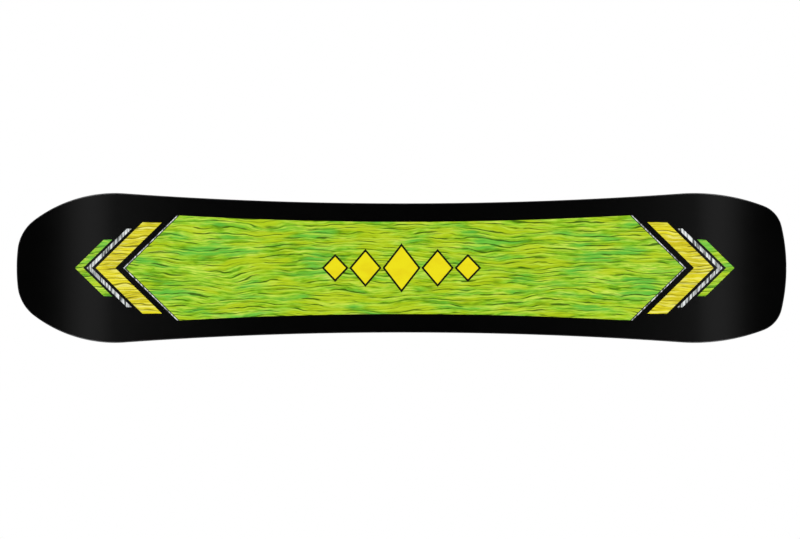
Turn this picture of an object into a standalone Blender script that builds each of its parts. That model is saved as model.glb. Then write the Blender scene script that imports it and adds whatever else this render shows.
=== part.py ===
# A snowboard without bindings, modelled the way a real one is laid up and pressed.
# Every layer is first drawn flat in a stack: base sheet with its die-cut inlays, steel
# edges with a punched flange, edge rubber, lower glass laminate that steps down from the
# flange, wood core with threaded inserts, sidewalls, tip spacers, upper laminate, topsheet.
# The press step then gives the stack its core taper, its camber and its upturned tips.
# X runs from the tail to the nose, Z points out of the topsheet, sizes are in metres.

import math

import bmesh
import bpy
from mathutils import Vector

# Outline, seen face on
BOARD_LENGTH = 1.580
TIP_WIDTH = 0.307
WAIST_WIDTH = 0.2647
NOSE_LENGTH = 0.203
NOSE_SHOULDER_RADIUS = 0.278
NOSE_CORNER_RADIUS = 0.086
NOSE_END_RADIUS = 0.353
TAIL_LENGTH = 0.190
TAIL_SHOULDER_RADIUS = 0.404
TAIL_CORNER_RADIUS = 0.060
TAIL_END_RADIUS = 0.370

# Side profile given by the press
CAMBER = 0.006
NOSE_RISE = 0.050
TAIL_RISE = 0.045

# Thickness of each layer and the glue line between neighbours
GLUE_LINE = 0.0003
BASE_THICKNESS = 0.0012
FLANGE_THICKNESS = 0.0005
RUBBER_THICKNESS = 0.0002
GLASS_THICKNESS = 0.0006
CORE_THICKNESS = 0.0062
TIP_THICKNESS = 0.0022
TOPSHEET_THICKNESS = 0.0006

# Steel edge, its punched flange, and the side of the board
EDGE_WIDTH = 0.002
FLANGE_REACH = 0.0065
FLANGE_ROOT = 0.0012
SLOT_PITCH = 0.048
SLOT_WIDTH = 0.010
RUBBER_OVERHANG = 0.0005
STEP_RUN = 0.0022
SIDE_LEAN = math.radians(12)
SIDEWALL_LAND = 0.0003
CORE_OVERRUN = 0.015

# Binding inserts, two rows of M6 sockets under each foot
STANCE = 0.560
SETBACK = 0.0125
INSERT_PITCH = 0.020
ROW_SPACING = 0.040
INSERTS_PER_ROW = 5
BARREL_RADIUS = 0.0045
FLANGE_RADIUS = 0.008
INSERT_FLANGE = 0.001
SCREW_RADIUS = 0.003
SCREW_DEPTH = 0.0062
INSERT_SUNK = 0.0002
PAD_MARGIN = 0.0225
INSERT_SIDES = 8

# Wood strips of the core
STRINGER_WIDTH = 0.0195
OUTER_STRIP_WIDTH = 0.029
OUTER_STRIPS = 3

# Coloured inlays set flush into the base sheet
PANEL_MARGIN = 0.038
PANEL_SHORT = 0.022
PANEL_POINT_LENGTH = 0.110
CHEVRON_GAP = 0.015
CHEVRON_WIDTH = 0.028

# Fineness of the arcs and of the bent surface
ARC_SAG = 0.0003
TIP_STEP = 0.034
BODY_STEP = 0.090
SHARP_ANGLE = math.radians(25)

# Heights in the flat stack, from the base plane up
FLANGE_BOTTOM = BASE_THICKNESS + GLUE_LINE
EDGE_TOP = FLANGE_BOTTOM + FLANGE_THICKNESS
RUBBER_BOTTOM = EDGE_TOP + GLUE_LINE
RUBBER_TOP = RUBBER_BOTTOM + RUBBER_THICKNESS
GLASS_RIM = RUBBER_TOP + GLUE_LINE
GLASS_FLOOR = BASE_THICKNESS + GLUE_LINE
CORE_RIM = GLASS_RIM + GLASS_THICKNESS + GLUE_LINE
CORE_FLOOR = GLASS_FLOOR + GLASS_THICKNESS + GLUE_LINE
CORE_TOP = CORE_FLOOR + CORE_THICKNESS
TIP_TOP = CORE_FLOOR + TIP_THICKNESS
UPPER_GLASS = CORE_TOP + GLUE_LINE
TOPSHEET_BOTTOM = UPPER_GLASS + GLASS_THICKNESS + GLUE_LINE
TOPSHEET_TOP = TOPSHEET_BOTTOM + TOPSHEET_THICKNESS

# Lines along the board
NOSE_WIDEST = BOARD_LENGTH / 2 - NOSE_LENGTH
TAIL_WIDEST = TAIL_LENGTH - BOARD_LENGTH / 2
NOSE_JOINT = NOSE_WIDEST + CORE_OVERRUN
TAIL_JOINT = TAIL_WIDEST - CORE_OVERRUN
STANCE_CENTRE = (NOSE_WIDEST + TAIL_WIDEST) / 2 - SETBACK
FEET = {"front": STANCE_CENTRE + STANCE / 2, "rear": STANCE_CENTRE - STANCE / 2}
PAD_HALF = INSERT_PITCH * (INSERTS_PER_ROW - 1) / 2 + PAD_MARGIN


def arc(centre, radius, start, end):
    """Points of an arc, without its last one, close enough to stay inside the sag."""
    step = 2 * math.acos(1 - ARC_SAG / radius)
    count = max(1, math.ceil(abs(end - start) / step))
    angles = [start + (end - start) * i / count for i in range(count)]
    return [centre + radius * Vector((math.cos(a), math.sin(a))) for a in angles]


def angle_of(vector):
    """Direction of a plan vector as an angle."""
    return math.atan2(vector.y, vector.x)


def tip_centres(length, shoulder, corner, end):
    """Centres of the shoulder, corner and end arcs, seen from the widest line."""
    first = Vector((0, TIP_WIDTH / 2 - shoulder))
    last = Vector((length - end, 0))
    span = last - first
    to_first, to_last = shoulder - corner, end - corner
    along = (to_first**2 - to_last**2 + span.length_squared) / (2 * span.length)
    across = math.sqrt(to_first**2 - along**2)
    ahead = span.normalized()
    return first, first + ahead * along + Vector((ahead.y, -ahead.x)) * across, last


def sidecut_circle():
    """Centre and radius of the sidecut arc, which touches both shoulder arcs."""
    depth = (TIP_WIDTH - WAIST_WIDTH) / 2
    squares = []
    for x, shoulder in ((NOSE_WIDEST, NOSE_SHOULDER_RADIUS), (TAIL_WIDEST, TAIL_SHOULDER_RADIUS)):
        squares.append(x**2 + (shoulder - depth) ** 2 - shoulder**2)
    x = (squares[0] - squares[1]) / (2 * (NOSE_WIDEST - TAIL_WIDEST))
    radius = (squares[0] - 2 * NOSE_WIDEST * x + x**2) / (2 * depth)
    return Vector((x, WAIST_WIDTH / 2 + radius)), radius


def tip_half(length, shoulder, corner, end, sidecut):
    """Half of a tip from its end to the sidecut, with x measured from the widest line."""
    first, middle, last = tip_centres(length, shoulder, corner, end)
    end_angle = angle_of(middle - last)
    corner_angle = angle_of(middle - first)
    shoulder_angle = angle_of(sidecut - first)
    points = arc(last, end, 0, end_angle)
    points += arc(middle, corner, end_angle, corner_angle)
    points += arc(first, shoulder, corner_angle, shoulder_angle)
    join = first + (sidecut - first).normalized() * shoulder
    return points + [join]


def spaced(start, end, step):
    """Even positions from start up to end, without the end."""
    count = max(1, math.ceil((end - start) / step - 1e-9))
    return [start + (end - start) * i / count for i in range(count)]


def bend_lines():
    """Lines across the board where its faces may bend; each foot lies on one flat face."""
    marks = [-BOARD_LENGTH / 2, TAIL_WIDEST]
    for foot in ("rear", "front"):
        marks += [FEET[foot] - PAD_HALF, FEET[foot] + PAD_HALF]
    marks += [NOSE_WIDEST, BOARD_LENGTH / 2]
    steps = [TIP_STEP, BODY_STEP, 2 * PAD_HALF, BODY_STEP, 2 * PAD_HALF, BODY_STEP, TIP_STEP]
    lines = []
    for start, end, step in zip(marks, marks[1:], steps):
        lines += spaced(start, end, step)
    return lines + [BOARD_LENGTH / 2]


BEND_LINES = bend_lines()


def board_outline():
    """Closed plan outline of the board, from the nose tip around by the left side."""
    centre, radius = sidecut_circle()
    from_nose = Vector((centre.x - NOSE_WIDEST, centre.y))
    from_tail = Vector((TAIL_WIDEST - centre.x, centre.y))
    nose = tip_half(NOSE_LENGTH, NOSE_SHOULDER_RADIUS, NOSE_CORNER_RADIUS,
                    NOSE_END_RADIUS, from_nose)
    tail = tip_half(TAIL_LENGTH, TAIL_SHOULDER_RADIUS, TAIL_CORNER_RADIUS,
                    TAIL_END_RADIUS, from_tail)
    left = [Vector((NOSE_WIDEST + p.x, p.y)) for p in nose]
    tail_side = [Vector((TAIL_WIDEST - p.x, p.y)) for p in reversed(tail)]
    for x in reversed(BEND_LINES):
        if tail_side[0].x + BODY_STEP / 4 < x < left[-1].x - BODY_STEP / 4 or (
            tail_side[0].x < x < left[-1].x and abs(x) < max(FEET.values())
        ):
            dip = math.sqrt(radius**2 - (x - centre.x) ** 2)
            left.append(Vector((x, centre.y - dip)))
    left += tail_side
    return left + [Vector((p.x, -p.y)) for p in reversed(left[1:-1])]


def offset(points, distance):
    """A closed outline moved inward, with every side parallel to itself."""
    moved = []
    for i, here in enumerate(points):
        into = (here - points[i - 1]).normalized()
        out = (points[(i + 1) % len(points)] - here).normalized()
        first, second = Vector((-into.y, into.x)), Vector((-out.y, out.x))
        moved.append(here + (first + second) * (distance / (1 + first.dot(second))))
    return moved


OUTLINE = board_outline()


def side_line(points, start, end):
    """The left side of an outline between two lines across the board, nose end first."""
    crossing = []
    for a, b in zip(points, points[1:]):
        if a.y < 0 or b.y < 0:
            continue
        for x in (end, start):
            if b.x < x < a.x:
                crossing.append(a.lerp(b, (a.x - x) / (a.x - b.x)))
    inside = [p for p in points if p.y > 0 and start < p.x < end]
    return sorted(crossing + inside, key=lambda p: -p.x)


def side_inset(height):
    """How far the leaning side of the board stands in from the base outline."""
    return max(0, height - EDGE_TOP) * math.tan(SIDE_LEAN)


def step_insets(above):
    """Start and end of the laminate's step for a surface this far above its underside."""
    slope = math.atan2(GLASS_RIM - GLASS_FLOOR, STEP_RUN)
    start = FLANGE_REACH + RUBBER_OVERHANG + 1.5 * GLUE_LINE + above * math.tan(slope / 2)
    return start, start + STEP_RUN


WALL_INSET = step_insets(GLASS_THICKNESS + GLUE_LINE)[1] + SIDEWALL_LAND


def base_height(x):
    """Height of the base above the snow: camber between the contact lines, then tips."""
    if x > NOSE_WIDEST:
        run, rise, beyond = NOSE_LENGTH, NOSE_RISE, x - NOSE_WIDEST
    elif x < TAIL_WIDEST:
        run, rise, beyond = TAIL_LENGTH, TAIL_RISE, TAIL_WIDEST - x
    else:
        middle, half = (NOSE_WIDEST + TAIL_WIDEST) / 2, (NOSE_WIDEST - TAIL_WIDEST) / 2
        return CAMBER * (1 - ((x - middle) / half) ** 2) ** 2
    radius = (run**2 + rise**2) / (2 * rise)
    return radius - math.sqrt(radius**2 - beyond**2)


def core_share(x):
    """Share of the full core thickness: whole between the feet, tapering to the tips."""
    rear, front = FEET["rear"] - PAD_HALF, FEET["front"] + PAD_HALF
    away = max((x - front) / (NOSE_WIDEST - front), (rear - x) / (rear - TAIL_WIDEST), 0)
    ease = 0.5 - 0.5 * math.cos(math.pi * min(away, 1))
    return 1 - ease


def press_frames():
    """For each bend line its point on the base and the direction of thickness there."""
    base = [Vector((x, base_height(x))) for x in BEND_LINES]
    normals = []
    for a, b in zip(base, base[1:]):
        along = (b - a).normalized()
        normals.append(Vector((-along.y, along.x)))
    frames = []
    for i, point in enumerate(base):
        first, second = normals[max(i - 1, 0)], normals[min(i, len(normals) - 1)]
        frames.append((point, (first + second) / (1 + first.dot(second))))
    return frames


FRAMES = press_frames()


def pressed_height(height, x):
    """Height in the stack once the core has its taper; only the wood above the rim thins."""
    thinned = CORE_RIM + (TIP_TOP - CORE_RIM) + (CORE_TOP - TIP_TOP) * core_share(x)
    part = min(max((height - CORE_RIM) / (CORE_TOP - CORE_RIM), 0), 1)
    return height + (thinned - CORE_TOP) * part


def pressed(point):
    """Where a point of the flat stack lies in the finished board."""
    last = len(BEND_LINES) - 2
    i = min(max(sum(x <= point.x for x in BEND_LINES) - 1, 0), last)
    a, b = BEND_LINES[i], BEND_LINES[i + 1]
    share = (point.x - a) / (b - a)
    ends = []
    for x, (foot, up) in ((a, FRAMES[i]), (b, FRAMES[i + 1])):
        ends.append(foot + up * pressed_height(point.z, x))
    bent = ends[0].lerp(ends[1], share)
    return Vector((bent.x, point.y, bent.y))


def ring(bm, points, height):
    """Verts around a plan outline at one height."""
    return [bm.verts.new((p.x, p.y, height)) for p in points]


def layup(rings, hollow=False, outline=OUTLINE):
    """Solid through rings of the outline, given as inset and height; hollow makes a rim."""
    bm = bmesh.new()
    loops = [ring(bm, offset(outline, inset), height) for inset, height in rings]
    pairs = list(zip(loops, loops[1:]))
    if hollow:
        pairs.append((loops[-1], loops[0]))
    else:
        bm.faces.new(loops[0])
        bm.faces.new(loops[-1])
    for low, high in pairs:
        for i in range(len(low)):
            bm.faces.new((low[i - 1], low[i], high[i], high[i - 1]))
    bmesh.ops.recalc_face_normals(bm, faces=bm.faces)
    return bm


def block(points, bottom, top):
    """Upright block over a closed plan outline."""
    return layup([(0, bottom), (0, top)], outline=points)


def trim(bm, place, outward):
    """Cut away all that lies beyond a plane and close the cut."""
    geometry = bm.verts[:] + bm.edges[:] + bm.faces[:]
    cut = bmesh.ops.bisect_plane(bm, geom=geometry, dist=1e-7, plane_co=place,
                                 plane_no=outward, clear_outer=True)
    edges = [e for e in cut["geom_cut"] if isinstance(e, bmesh.types.BMEdge)]
    bmesh.ops.edgeloop_fill(bm, edges=edges)
    bmesh.ops.recalc_face_normals(bm, faces=bm.faces)
    return bm


def crease(bm):
    """Cut the flat solid at the bend lines, so that each face stays flat when pressed."""
    for x in BEND_LINES[1:-1]:
        geometry = bm.verts[:] + bm.edges[:] + bm.faces[:]
        bmesh.ops.bisect_plane(bm, geom=geometry, dist=1e-7, plane_co=(x, 0, 0),
                               plane_no=(1, 0, 0))
    return bm


def helper(name, bm):
    """Hidden object that only cuts another one."""
    mesh = bpy.data.meshes.new(name)
    bm.to_mesh(mesh)
    bm.free()
    obj = bpy.data.objects.new(name, mesh)
    bpy.context.collection.objects.link(obj)
    obj.hide_render = True
    obj.display_type = "WIRE"
    return obj


def cut_out(bm, cutter):
    """The flat solid with the cutter taken away."""
    blank = helper("blank", bm)
    modifier = blank.modifiers.new("cut", "BOOLEAN")
    modifier.operation = "DIFFERENCE"
    modifier.solver = "EXACT"
    modifier.object = cutter
    result = bmesh.new()
    result.from_object(blank, bpy.context.evaluated_depsgraph_get())
    bpy.data.objects.remove(blank)
    return result


def material(name, colour, roughness, metallic=0.0):
    """Plain surface of one sub-part."""
    made = bpy.data.materials.new(name)
    made.use_nodes = True
    shader = made.node_tree.nodes["Principled BSDF"]
    shader.inputs["Base Color"].default_value = (*colour, 1)
    shader.inputs["Roughness"].default_value = roughness
    shader.inputs["Metallic"].default_value = metallic
    return made


BLACK_BASE = (0.012, 0.012, 0.013)
LIME = (0.28, 0.50, 0.03)
YELLOW = (0.78, 0.66, 0.06)
STEEL = (0.56, 0.57, 0.58)
RUBBER = (0.02, 0.02, 0.02)
GLASS = (0.62, 0.66, 0.58)
POPLAR = (0.72, 0.58, 0.38)
BEECH = (0.55, 0.36, 0.20)
BLACK_ABS = (0.02, 0.02, 0.022)
SATIN_BLACK = (0.025, 0.025, 0.028)


def make(name, mesh_source, colour, roughness, metallic=0.0):
    """Object of one sub-part with its own material, held by the board."""
    mesh = bpy.data.meshes.new(name)
    mesh_source.to_mesh(mesh)
    mesh_source.free()
    mesh.materials.append(material(name, colour, roughness, metallic))
    mesh.shade_smooth()
    mesh.set_sharp_from_angle(angle=SHARP_ANGLE)
    obj = bpy.data.objects.new(name, mesh)
    bpy.context.collection.objects.link(obj)
    obj.parent = bpy.data.objects["snowboard"]
    return obj


def press(name, bm, colour, roughness, metallic=0.0):
    """Bend a flat solid to the finished board and make its object."""
    for vert in bm.verts:
        vert.co = pressed(vert.co)
    return make(name, bm, colour, roughness, metallic)


def mirrored(points):
    """A closed outline on the other side of the board, kept in the same turn."""
    return [Vector((p.x, -p.y)) for p in reversed(points)]


def rear_of(points):
    """A closed outline turned end for end."""
    return [Vector((-p.x, -p.y)) for p in points]


def panel_point(outline):
    """Shoulder and point of the panel's end that lies towards +X."""
    widest = max(outline, key=lambda p: p.y if p.x > 0 else 0).x
    point = widest - PANEL_SHORT
    shoulder = point - PANEL_POINT_LENGTH
    return side_line(offset(outline, PANEL_MARGIN), 0, shoulder)[0], Vector((point, 0))


def panel_outline():
    """Long panel that follows the sidecut and ends in a point at each tip."""
    nose_corner, nose_point = panel_point(OUTLINE)
    tail_corner, tail_point = panel_point(rear_of(OUTLINE))
    side = side_line(offset(OUTLINE, PANEL_MARGIN), -tail_corner.x, nose_corner.x)
    left = [nose_point] + side + [-tail_point]
    return left + mirrored(left[1:-1])


def chevron_outline(outline):
    """Bent bar ahead of the panel's point, with arms parallel to the panel's end."""
    corner, point = panel_point(outline)
    back = point - corner
    lean = back.length / corner.y
    near = point.x + CHEVRON_GAP * lean
    far = near + CHEVRON_WIDTH * lean
    arm = corner.y - CHEVRON_WIDTH / 2
    fall = back.x / corner.y * arm
    return [
        Vector((far, 0)),
        Vector((far - fall, arm)),
        Vector((near - fall, arm)),
        Vector((near, 0)),
        Vector((near - fall, -arm)),
        Vector((far - fall, -arm)),
    ]


def build_base():
    """Black running base and the coloured inlays set flush in its windows."""
    inset = EDGE_WIDTH + GLUE_LINE
    sheet = crease(layup([(inset, 0), (inset, BASE_THICKNESS)]))
    inlays = [
        ("base_inlay_panel", panel_outline(), LIME),
        ("base_inlay_nose_chevron", chevron_outline(OUTLINE), YELLOW),
        ("base_inlay_tail_chevron", rear_of(chevron_outline(rear_of(OUTLINE))), YELLOW),
    ]
    for name, points, colour in inlays:
        window = helper("window", block(points, -BASE_THICKNESS, 2 * BASE_THICKNESS))
        sheet = cut_out(sheet, window)
        bpy.data.objects.remove(window)
        inlay = crease(block(offset(points, GLUE_LINE), 0, BASE_THICKNESS))
        press(name, inlay, colour, 0.4)
    press("base_sheet", sheet, BLACK_BASE, 0.35)


def flange_slots():
    """Cutter with one block for every slot punched through the edge flange."""
    left = OUTLINE[: len(OUTLINE) // 2 + 1]
    length = sum((b - a).length for a, b in zip(left, left[1:]))
    count = round(length / SLOT_PITCH)
    places = [length * (i + 0.5) / count for i in range(count)]
    bm = bmesh.new()
    walked = 0
    for a, b in zip(left, left[1:]):
        side = (b - a).length
        ahead = (b - a).normalized()
        inward = Vector((-ahead.y, ahead.x))
        for place in places:
            if not walked <= place < walked + side:
                continue
            outer = a + ahead * (place - walked) + inward * (EDGE_WIDTH + FLANGE_ROOT)
            depth = 2 * FLANGE_REACH
            for flip in (1, -1):
                made = bmesh.ops.create_cube(bm, size=1)["verts"]
                for vert in made:
                    plan = outer + ahead * vert.co.x * SLOT_WIDTH
                    plan += inward * (vert.co.y + 0.5) * depth
                    height = FLANGE_BOTTOM + vert.co.z * 4 * FLANGE_THICKNESS
                    vert.co = Vector((plan.x, plan.y * flip, height))
        walked += side
    bmesh.ops.recalc_face_normals(bm, faces=bm.faces)
    return helper("slots", bm)


def build_edges():
    """Steel edges with their toothed flange, and the rubber foil that lies on it."""
    steel = [(0, 0), (0, EDGE_TOP), (FLANGE_REACH, EDGE_TOP),
             (FLANGE_REACH, FLANGE_BOTTOM), (EDGE_WIDTH, FLANGE_BOTTOM), (EDGE_WIDTH, 0)]
    reach = FLANGE_REACH + RUBBER_OVERHANG
    foil = [(side_inset(RUBBER_BOTTOM), RUBBER_BOTTOM), (side_inset(RUBBER_TOP), RUBBER_TOP),
            (reach, RUBBER_TOP), (reach, RUBBER_BOTTOM)]
    slots = flange_slots()
    for side, turn in (("left", 1), ("right", -1)):
        middle = (0, turn * GLUE_LINE / 2, 0)
        edge = trim(layup(steel, hollow=True), middle, (0, -turn, 0))
        press("edge_" + side, cut_out(crease(edge), slots), STEEL, 0.3, 1.0)
        rubber = trim(layup(foil, hollow=True), middle, (0, -turn, 0))
        press("edge_rubber_" + side, crease(rubber), RUBBER, 0.8)
    bpy.data.objects.remove(slots)


def build_lower_laminate():
    """Glass laminate that lies over the edge flange and steps down onto the base sheet."""
    under = step_insets(0)
    over = step_insets(GLASS_THICKNESS)
    rim_top = GLASS_RIM + GLASS_THICKNESS
    rings = [
        (under[1], GLASS_FLOOR),
        (under[0], GLASS_RIM),
        (side_inset(GLASS_RIM), GLASS_RIM),
        (side_inset(rim_top), rim_top),
        (over[0], rim_top),
        (over[1], GLASS_FLOOR + GLASS_THICKNESS),
    ]
    press("lower_laminate", crease(layup(rings)), GLASS, 0.45)


def insert_cutter():
    """Cutter with a stepped plug for every insert: flange recess below, barrel above."""
    bm = bmesh.new()
    recess = CORE_FLOOR + INSERT_FLANGE + GLUE_LINE
    profile = [
        (0, -GLUE_LINE),
        (FLANGE_RADIUS + GLUE_LINE, -GLUE_LINE),
        (FLANGE_RADIUS + GLUE_LINE, recess),
        (BARREL_RADIUS + GLUE_LINE, recess),
        (BARREL_RADIUS + GLUE_LINE, 2 * TOPSHEET_TOP),
        (0, 2 * TOPSHEET_TOP),
    ]
    for place in insert_places().values():
        turned(bm, profile, place)
    return helper("plugs", bm)


def turned(bm, profile, place):
    """Solid of revolution with an upright axis, from radius and height pairs."""
    verts = [bm.verts.new((place.x + r, place.y, z)) for r, z in profile]
    edges = [bm.edges.new((a, b)) for a, b in zip(verts, verts[1:])]
    bmesh.ops.spin(bm, geom=verts + edges, cent=(place.x, place.y, 0), axis=(0, 0, 1),
                   angle=2 * math.pi, steps=INSERT_SIDES, use_merge=True)
    bmesh.ops.remove_doubles(bm, verts=bm.verts, dist=1e-6)
    bmesh.ops.recalc_face_normals(bm, faces=bm.faces)


def insert_places():
    """Plan position of every insert by its name."""
    places = {}
    for foot, centre in FEET.items():
        for side, y in (("left", ROW_SPACING / 2), ("right", -ROW_SPACING / 2)):
            for i in range(INSERTS_PER_ROW):
                x = centre + (i - (INSERTS_PER_ROW - 1) / 2) * INSERT_PITCH
                places[f"insert_{foot}_{side}_{i + 1}"] = Vector((x, y))
    return places


def build_core():
    """Wood strips glued side by side, the denser ones pierced for the inserts."""
    wall = offset(OUTLINE, WALL_INSET + GLUE_LINE)
    half = (ROW_SPACING - STRINGER_WIDTH - GLUE_LINE) / 2
    bounds = [(-half + GLUE_LINE / 2, half - GLUE_LINE / 2)]
    start = half + GLUE_LINE / 2
    bounds.append((start, start + STRINGER_WIDTH))
    for _ in range(OUTER_STRIPS - 1):
        start = bounds[-1][1] + GLUE_LINE
        bounds.append((start, start + OUTER_STRIP_WIDTH))
    edge_start = bounds[-1][1] + GLUE_LINE
    plugs = insert_cutter()
    middle = rectangle(bounds[0])
    press("core_strip_middle", crease(block(middle, CORE_FLOOR, CORE_TOP)), POPLAR, 0.6)
    names = ["core_stringer"] + [f"core_strip_{i}" for i in range(1, OUTER_STRIPS)]
    for name, bound in zip(names, bounds[1:]):
        for side, turn in (("left", 1), ("right", -1)):
            points = rectangle(bound) if turn > 0 else mirrored(rectangle(bound))
            strip = crease(block(points, CORE_FLOOR, CORE_TOP))
            wood = POPLAR
            if name == "core_stringer":
                strip = cut_out(strip, plugs)
                wood = BEECH
            press(f"{name}_{side}", strip, wood, 0.6)
    outer = [Vector((NOSE_JOINT, edge_start))] + side_line(wall, TAIL_JOINT, NOSE_JOINT)
    outer += [Vector((TAIL_JOINT, edge_start))]
    for side, points in (("left", outer), ("right", mirrored(outer))):
        strip = crease(block(points, CORE_FLOOR, CORE_TOP))
        press(f"core_strip_{OUTER_STRIPS}_{side}", strip, POPLAR, 0.6)
    return plugs


def rectangle(bound):
    """Straight strip of the core between two distances from the centre line."""
    low, high = bound
    return [
        Vector((NOSE_JOINT, low)),
        Vector((NOSE_JOINT, high)),
        Vector((TAIL_JOINT, high)),
        Vector((TAIL_JOINT, low)),
    ]


def build_sides():
    """Sidewalls along the core and full-width spacers that fill the tips."""
    step = step_insets(GLASS_THICKNESS + GLUE_LINE)
    face = [
        (step[1], CORE_FLOOR),
        (step[0], CORE_RIM),
        (side_inset(CORE_RIM), CORE_RIM),
        (side_inset(CORE_TOP), CORE_TOP),
    ]
    wall = face + [(WALL_INSET, CORE_TOP), (WALL_INSET, CORE_FLOOR)]
    for side, turn in (("left", 1), ("right", -1)):
        bm = trim(layup(wall, hollow=True), (0, 0, 0), (0, -turn, 0))
        bm = trim(bm, (NOSE_JOINT, 0, 0), (1, 0, 0))
        bm = trim(bm, (TAIL_JOINT, 0, 0), (-1, 0, 0))
        press("sidewall_" + side, crease(bm), BLACK_ABS, 0.5)
    for tip, joint, turn in (("nose", NOSE_JOINT, 1), ("tail", TAIL_JOINT, -1)):
        start = joint + turn * GLUE_LINE
        bm = trim(layup(face), (start, 0, 0), (-turn, 0, 0))
        press(tip + "_spacer", crease(bm), BLACK_ABS, 0.5)


def build_top(plugs):
    """Upper laminate and topsheet, both pierced by the insert barrels."""
    for name, bottom, thickness, colour in (
        ("upper_laminate", UPPER_GLASS, GLASS_THICKNESS, GLASS),
        ("topsheet", TOPSHEET_BOTTOM, TOPSHEET_THICKNESS, SATIN_BLACK),
    ):
        top = bottom + thickness
        rings = [(side_inset(bottom), bottom), (side_inset(top), top)]
        press(name, cut_out(crease(layup(rings)), plugs), colour, 0.4)


def build_inserts():
    """Threaded inserts: flange under the wood, barrel up to the topsheet, blind socket."""
    bm = bmesh.new()
    top = TOPSHEET_TOP - INSERT_SUNK - CORE_FLOOR
    profile = [
        (0, 0),
        (FLANGE_RADIUS, 0),
        (FLANGE_RADIUS, INSERT_FLANGE),
        (BARREL_RADIUS, INSERT_FLANGE),
        (BARREL_RADIUS, top),
        (SCREW_RADIUS, top),
        (SCREW_RADIUS, top - SCREW_DEPTH),
        (0, top - SCREW_DEPTH),
    ]
    turned(bm, profile, Vector((0, 0)))
    for name, place in insert_places().items():
        obj = make(name, bm.copy(), STEEL, 0.35, 1.0)
        foot = pressed(Vector((place.x, place.y, CORE_FLOOR)))
        ahead = pressed(Vector((place.x + INSERT_PITCH / 4, place.y, CORE_FLOOR)))
        obj.location = foot
        obj.rotation_euler = (0, -math.atan2(ahead.z - foot.z, ahead.x - foot.x), 0)
    bm.free()


def main():
    """Build the whole board in an empty scene."""
    for obj in list(bpy.data.objects):
        bpy.data.objects.remove(obj)
    root = bpy.data.objects.new("snowboard", None)
    bpy.context.collection.objects.link(root)
    build_base()
    build_edges()
    build_lower_laminate()
    plugs = build_core()
    build_sides()
    build_top(plugs)
    bpy.data.objects.remove(plugs)
    build_inserts()


main()
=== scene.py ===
"""Dresses the packed snowboard and sets it in a plain studio.

Every layer that can be seen is drawn again, flat and finer than its solid, and is then
pressed into the same camber, core taper and upturned tips. The photograph shows the
running base, so the camera looks up from below. X runs from tail to nose, Z points out
of the topsheet, and all sizes are in metres.
"""

from __future__ import annotations

import logging
import math
from dataclasses import dataclass, field, replace
from enum import Enum
from functools import cached_property, reduce
from operator import add
from typing import Iterable, Sequence

import bmesh
import bpy
from bmesh.types import BMEdge, BMesh, BMVert
from mathutils import Matrix, Vector


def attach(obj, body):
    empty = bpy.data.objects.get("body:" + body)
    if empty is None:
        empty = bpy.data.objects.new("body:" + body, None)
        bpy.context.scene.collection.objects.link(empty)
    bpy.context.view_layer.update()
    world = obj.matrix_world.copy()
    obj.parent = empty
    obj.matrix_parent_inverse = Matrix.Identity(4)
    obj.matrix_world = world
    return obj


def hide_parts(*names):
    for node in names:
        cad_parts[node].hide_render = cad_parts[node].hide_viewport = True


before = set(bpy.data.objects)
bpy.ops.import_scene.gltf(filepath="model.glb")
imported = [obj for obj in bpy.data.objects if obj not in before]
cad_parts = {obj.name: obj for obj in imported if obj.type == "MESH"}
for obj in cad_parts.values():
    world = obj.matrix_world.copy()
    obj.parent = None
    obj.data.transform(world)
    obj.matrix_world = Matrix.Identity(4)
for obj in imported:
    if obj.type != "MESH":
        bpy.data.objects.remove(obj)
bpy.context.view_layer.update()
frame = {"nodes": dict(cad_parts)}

BODY = "root"
WELD = 1e-6
SMOOTH_ANGLE = math.radians(32)
SRGB_TOE, SRGB_SLOPE, SRGB_OFFSET, SRGB_GAMMA = 0.04045, 12.92, 0.055, 2.4

LOG = logging.getLogger("snowboard")

Pair = tuple[float, float]
Ring = tuple[float, float]
Span = tuple[float, float]
Colour = tuple[float, float, float]
Triple = tuple[float, float, float]
Stops = Sequence[tuple[float, Colour]]
Settings = dict[str, object]
Inputs = dict[str | int, object]


class Tip(Enum):
    """An end of the board, by the way in which it points along X."""

    NOSE = 1
    TAIL = -1


class Side(Enum):
    """A long side of the board, by the way in which it points along Y."""

    LEFT = 1
    RIGHT = -1


class Wood(Enum):
    """Timber of a core strip, by the start of its node's name."""

    POPLAR = "core_strip"
    BEECH = "core_stringer"


def paint(red: int, green: int, blue: int) -> Colour:
    """Scene colour of a paint that is known by its display values.

    Args:
        red: Display value of red, 0 to 255.
        green: Display value of green, 0 to 255.
        blue: Display value of blue, 0 to 255.

    Returns:
        The same colour in linear values.
    """
    shares = (value / 255 for value in (red, green, blue))
    return tuple(share / SRGB_SLOPE if share <= SRGB_TOE
                 else ((share + SRGB_OFFSET) / (1 + SRGB_OFFSET)) ** SRGB_GAMMA
                 for share in shares)


# Shape of the board


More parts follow.
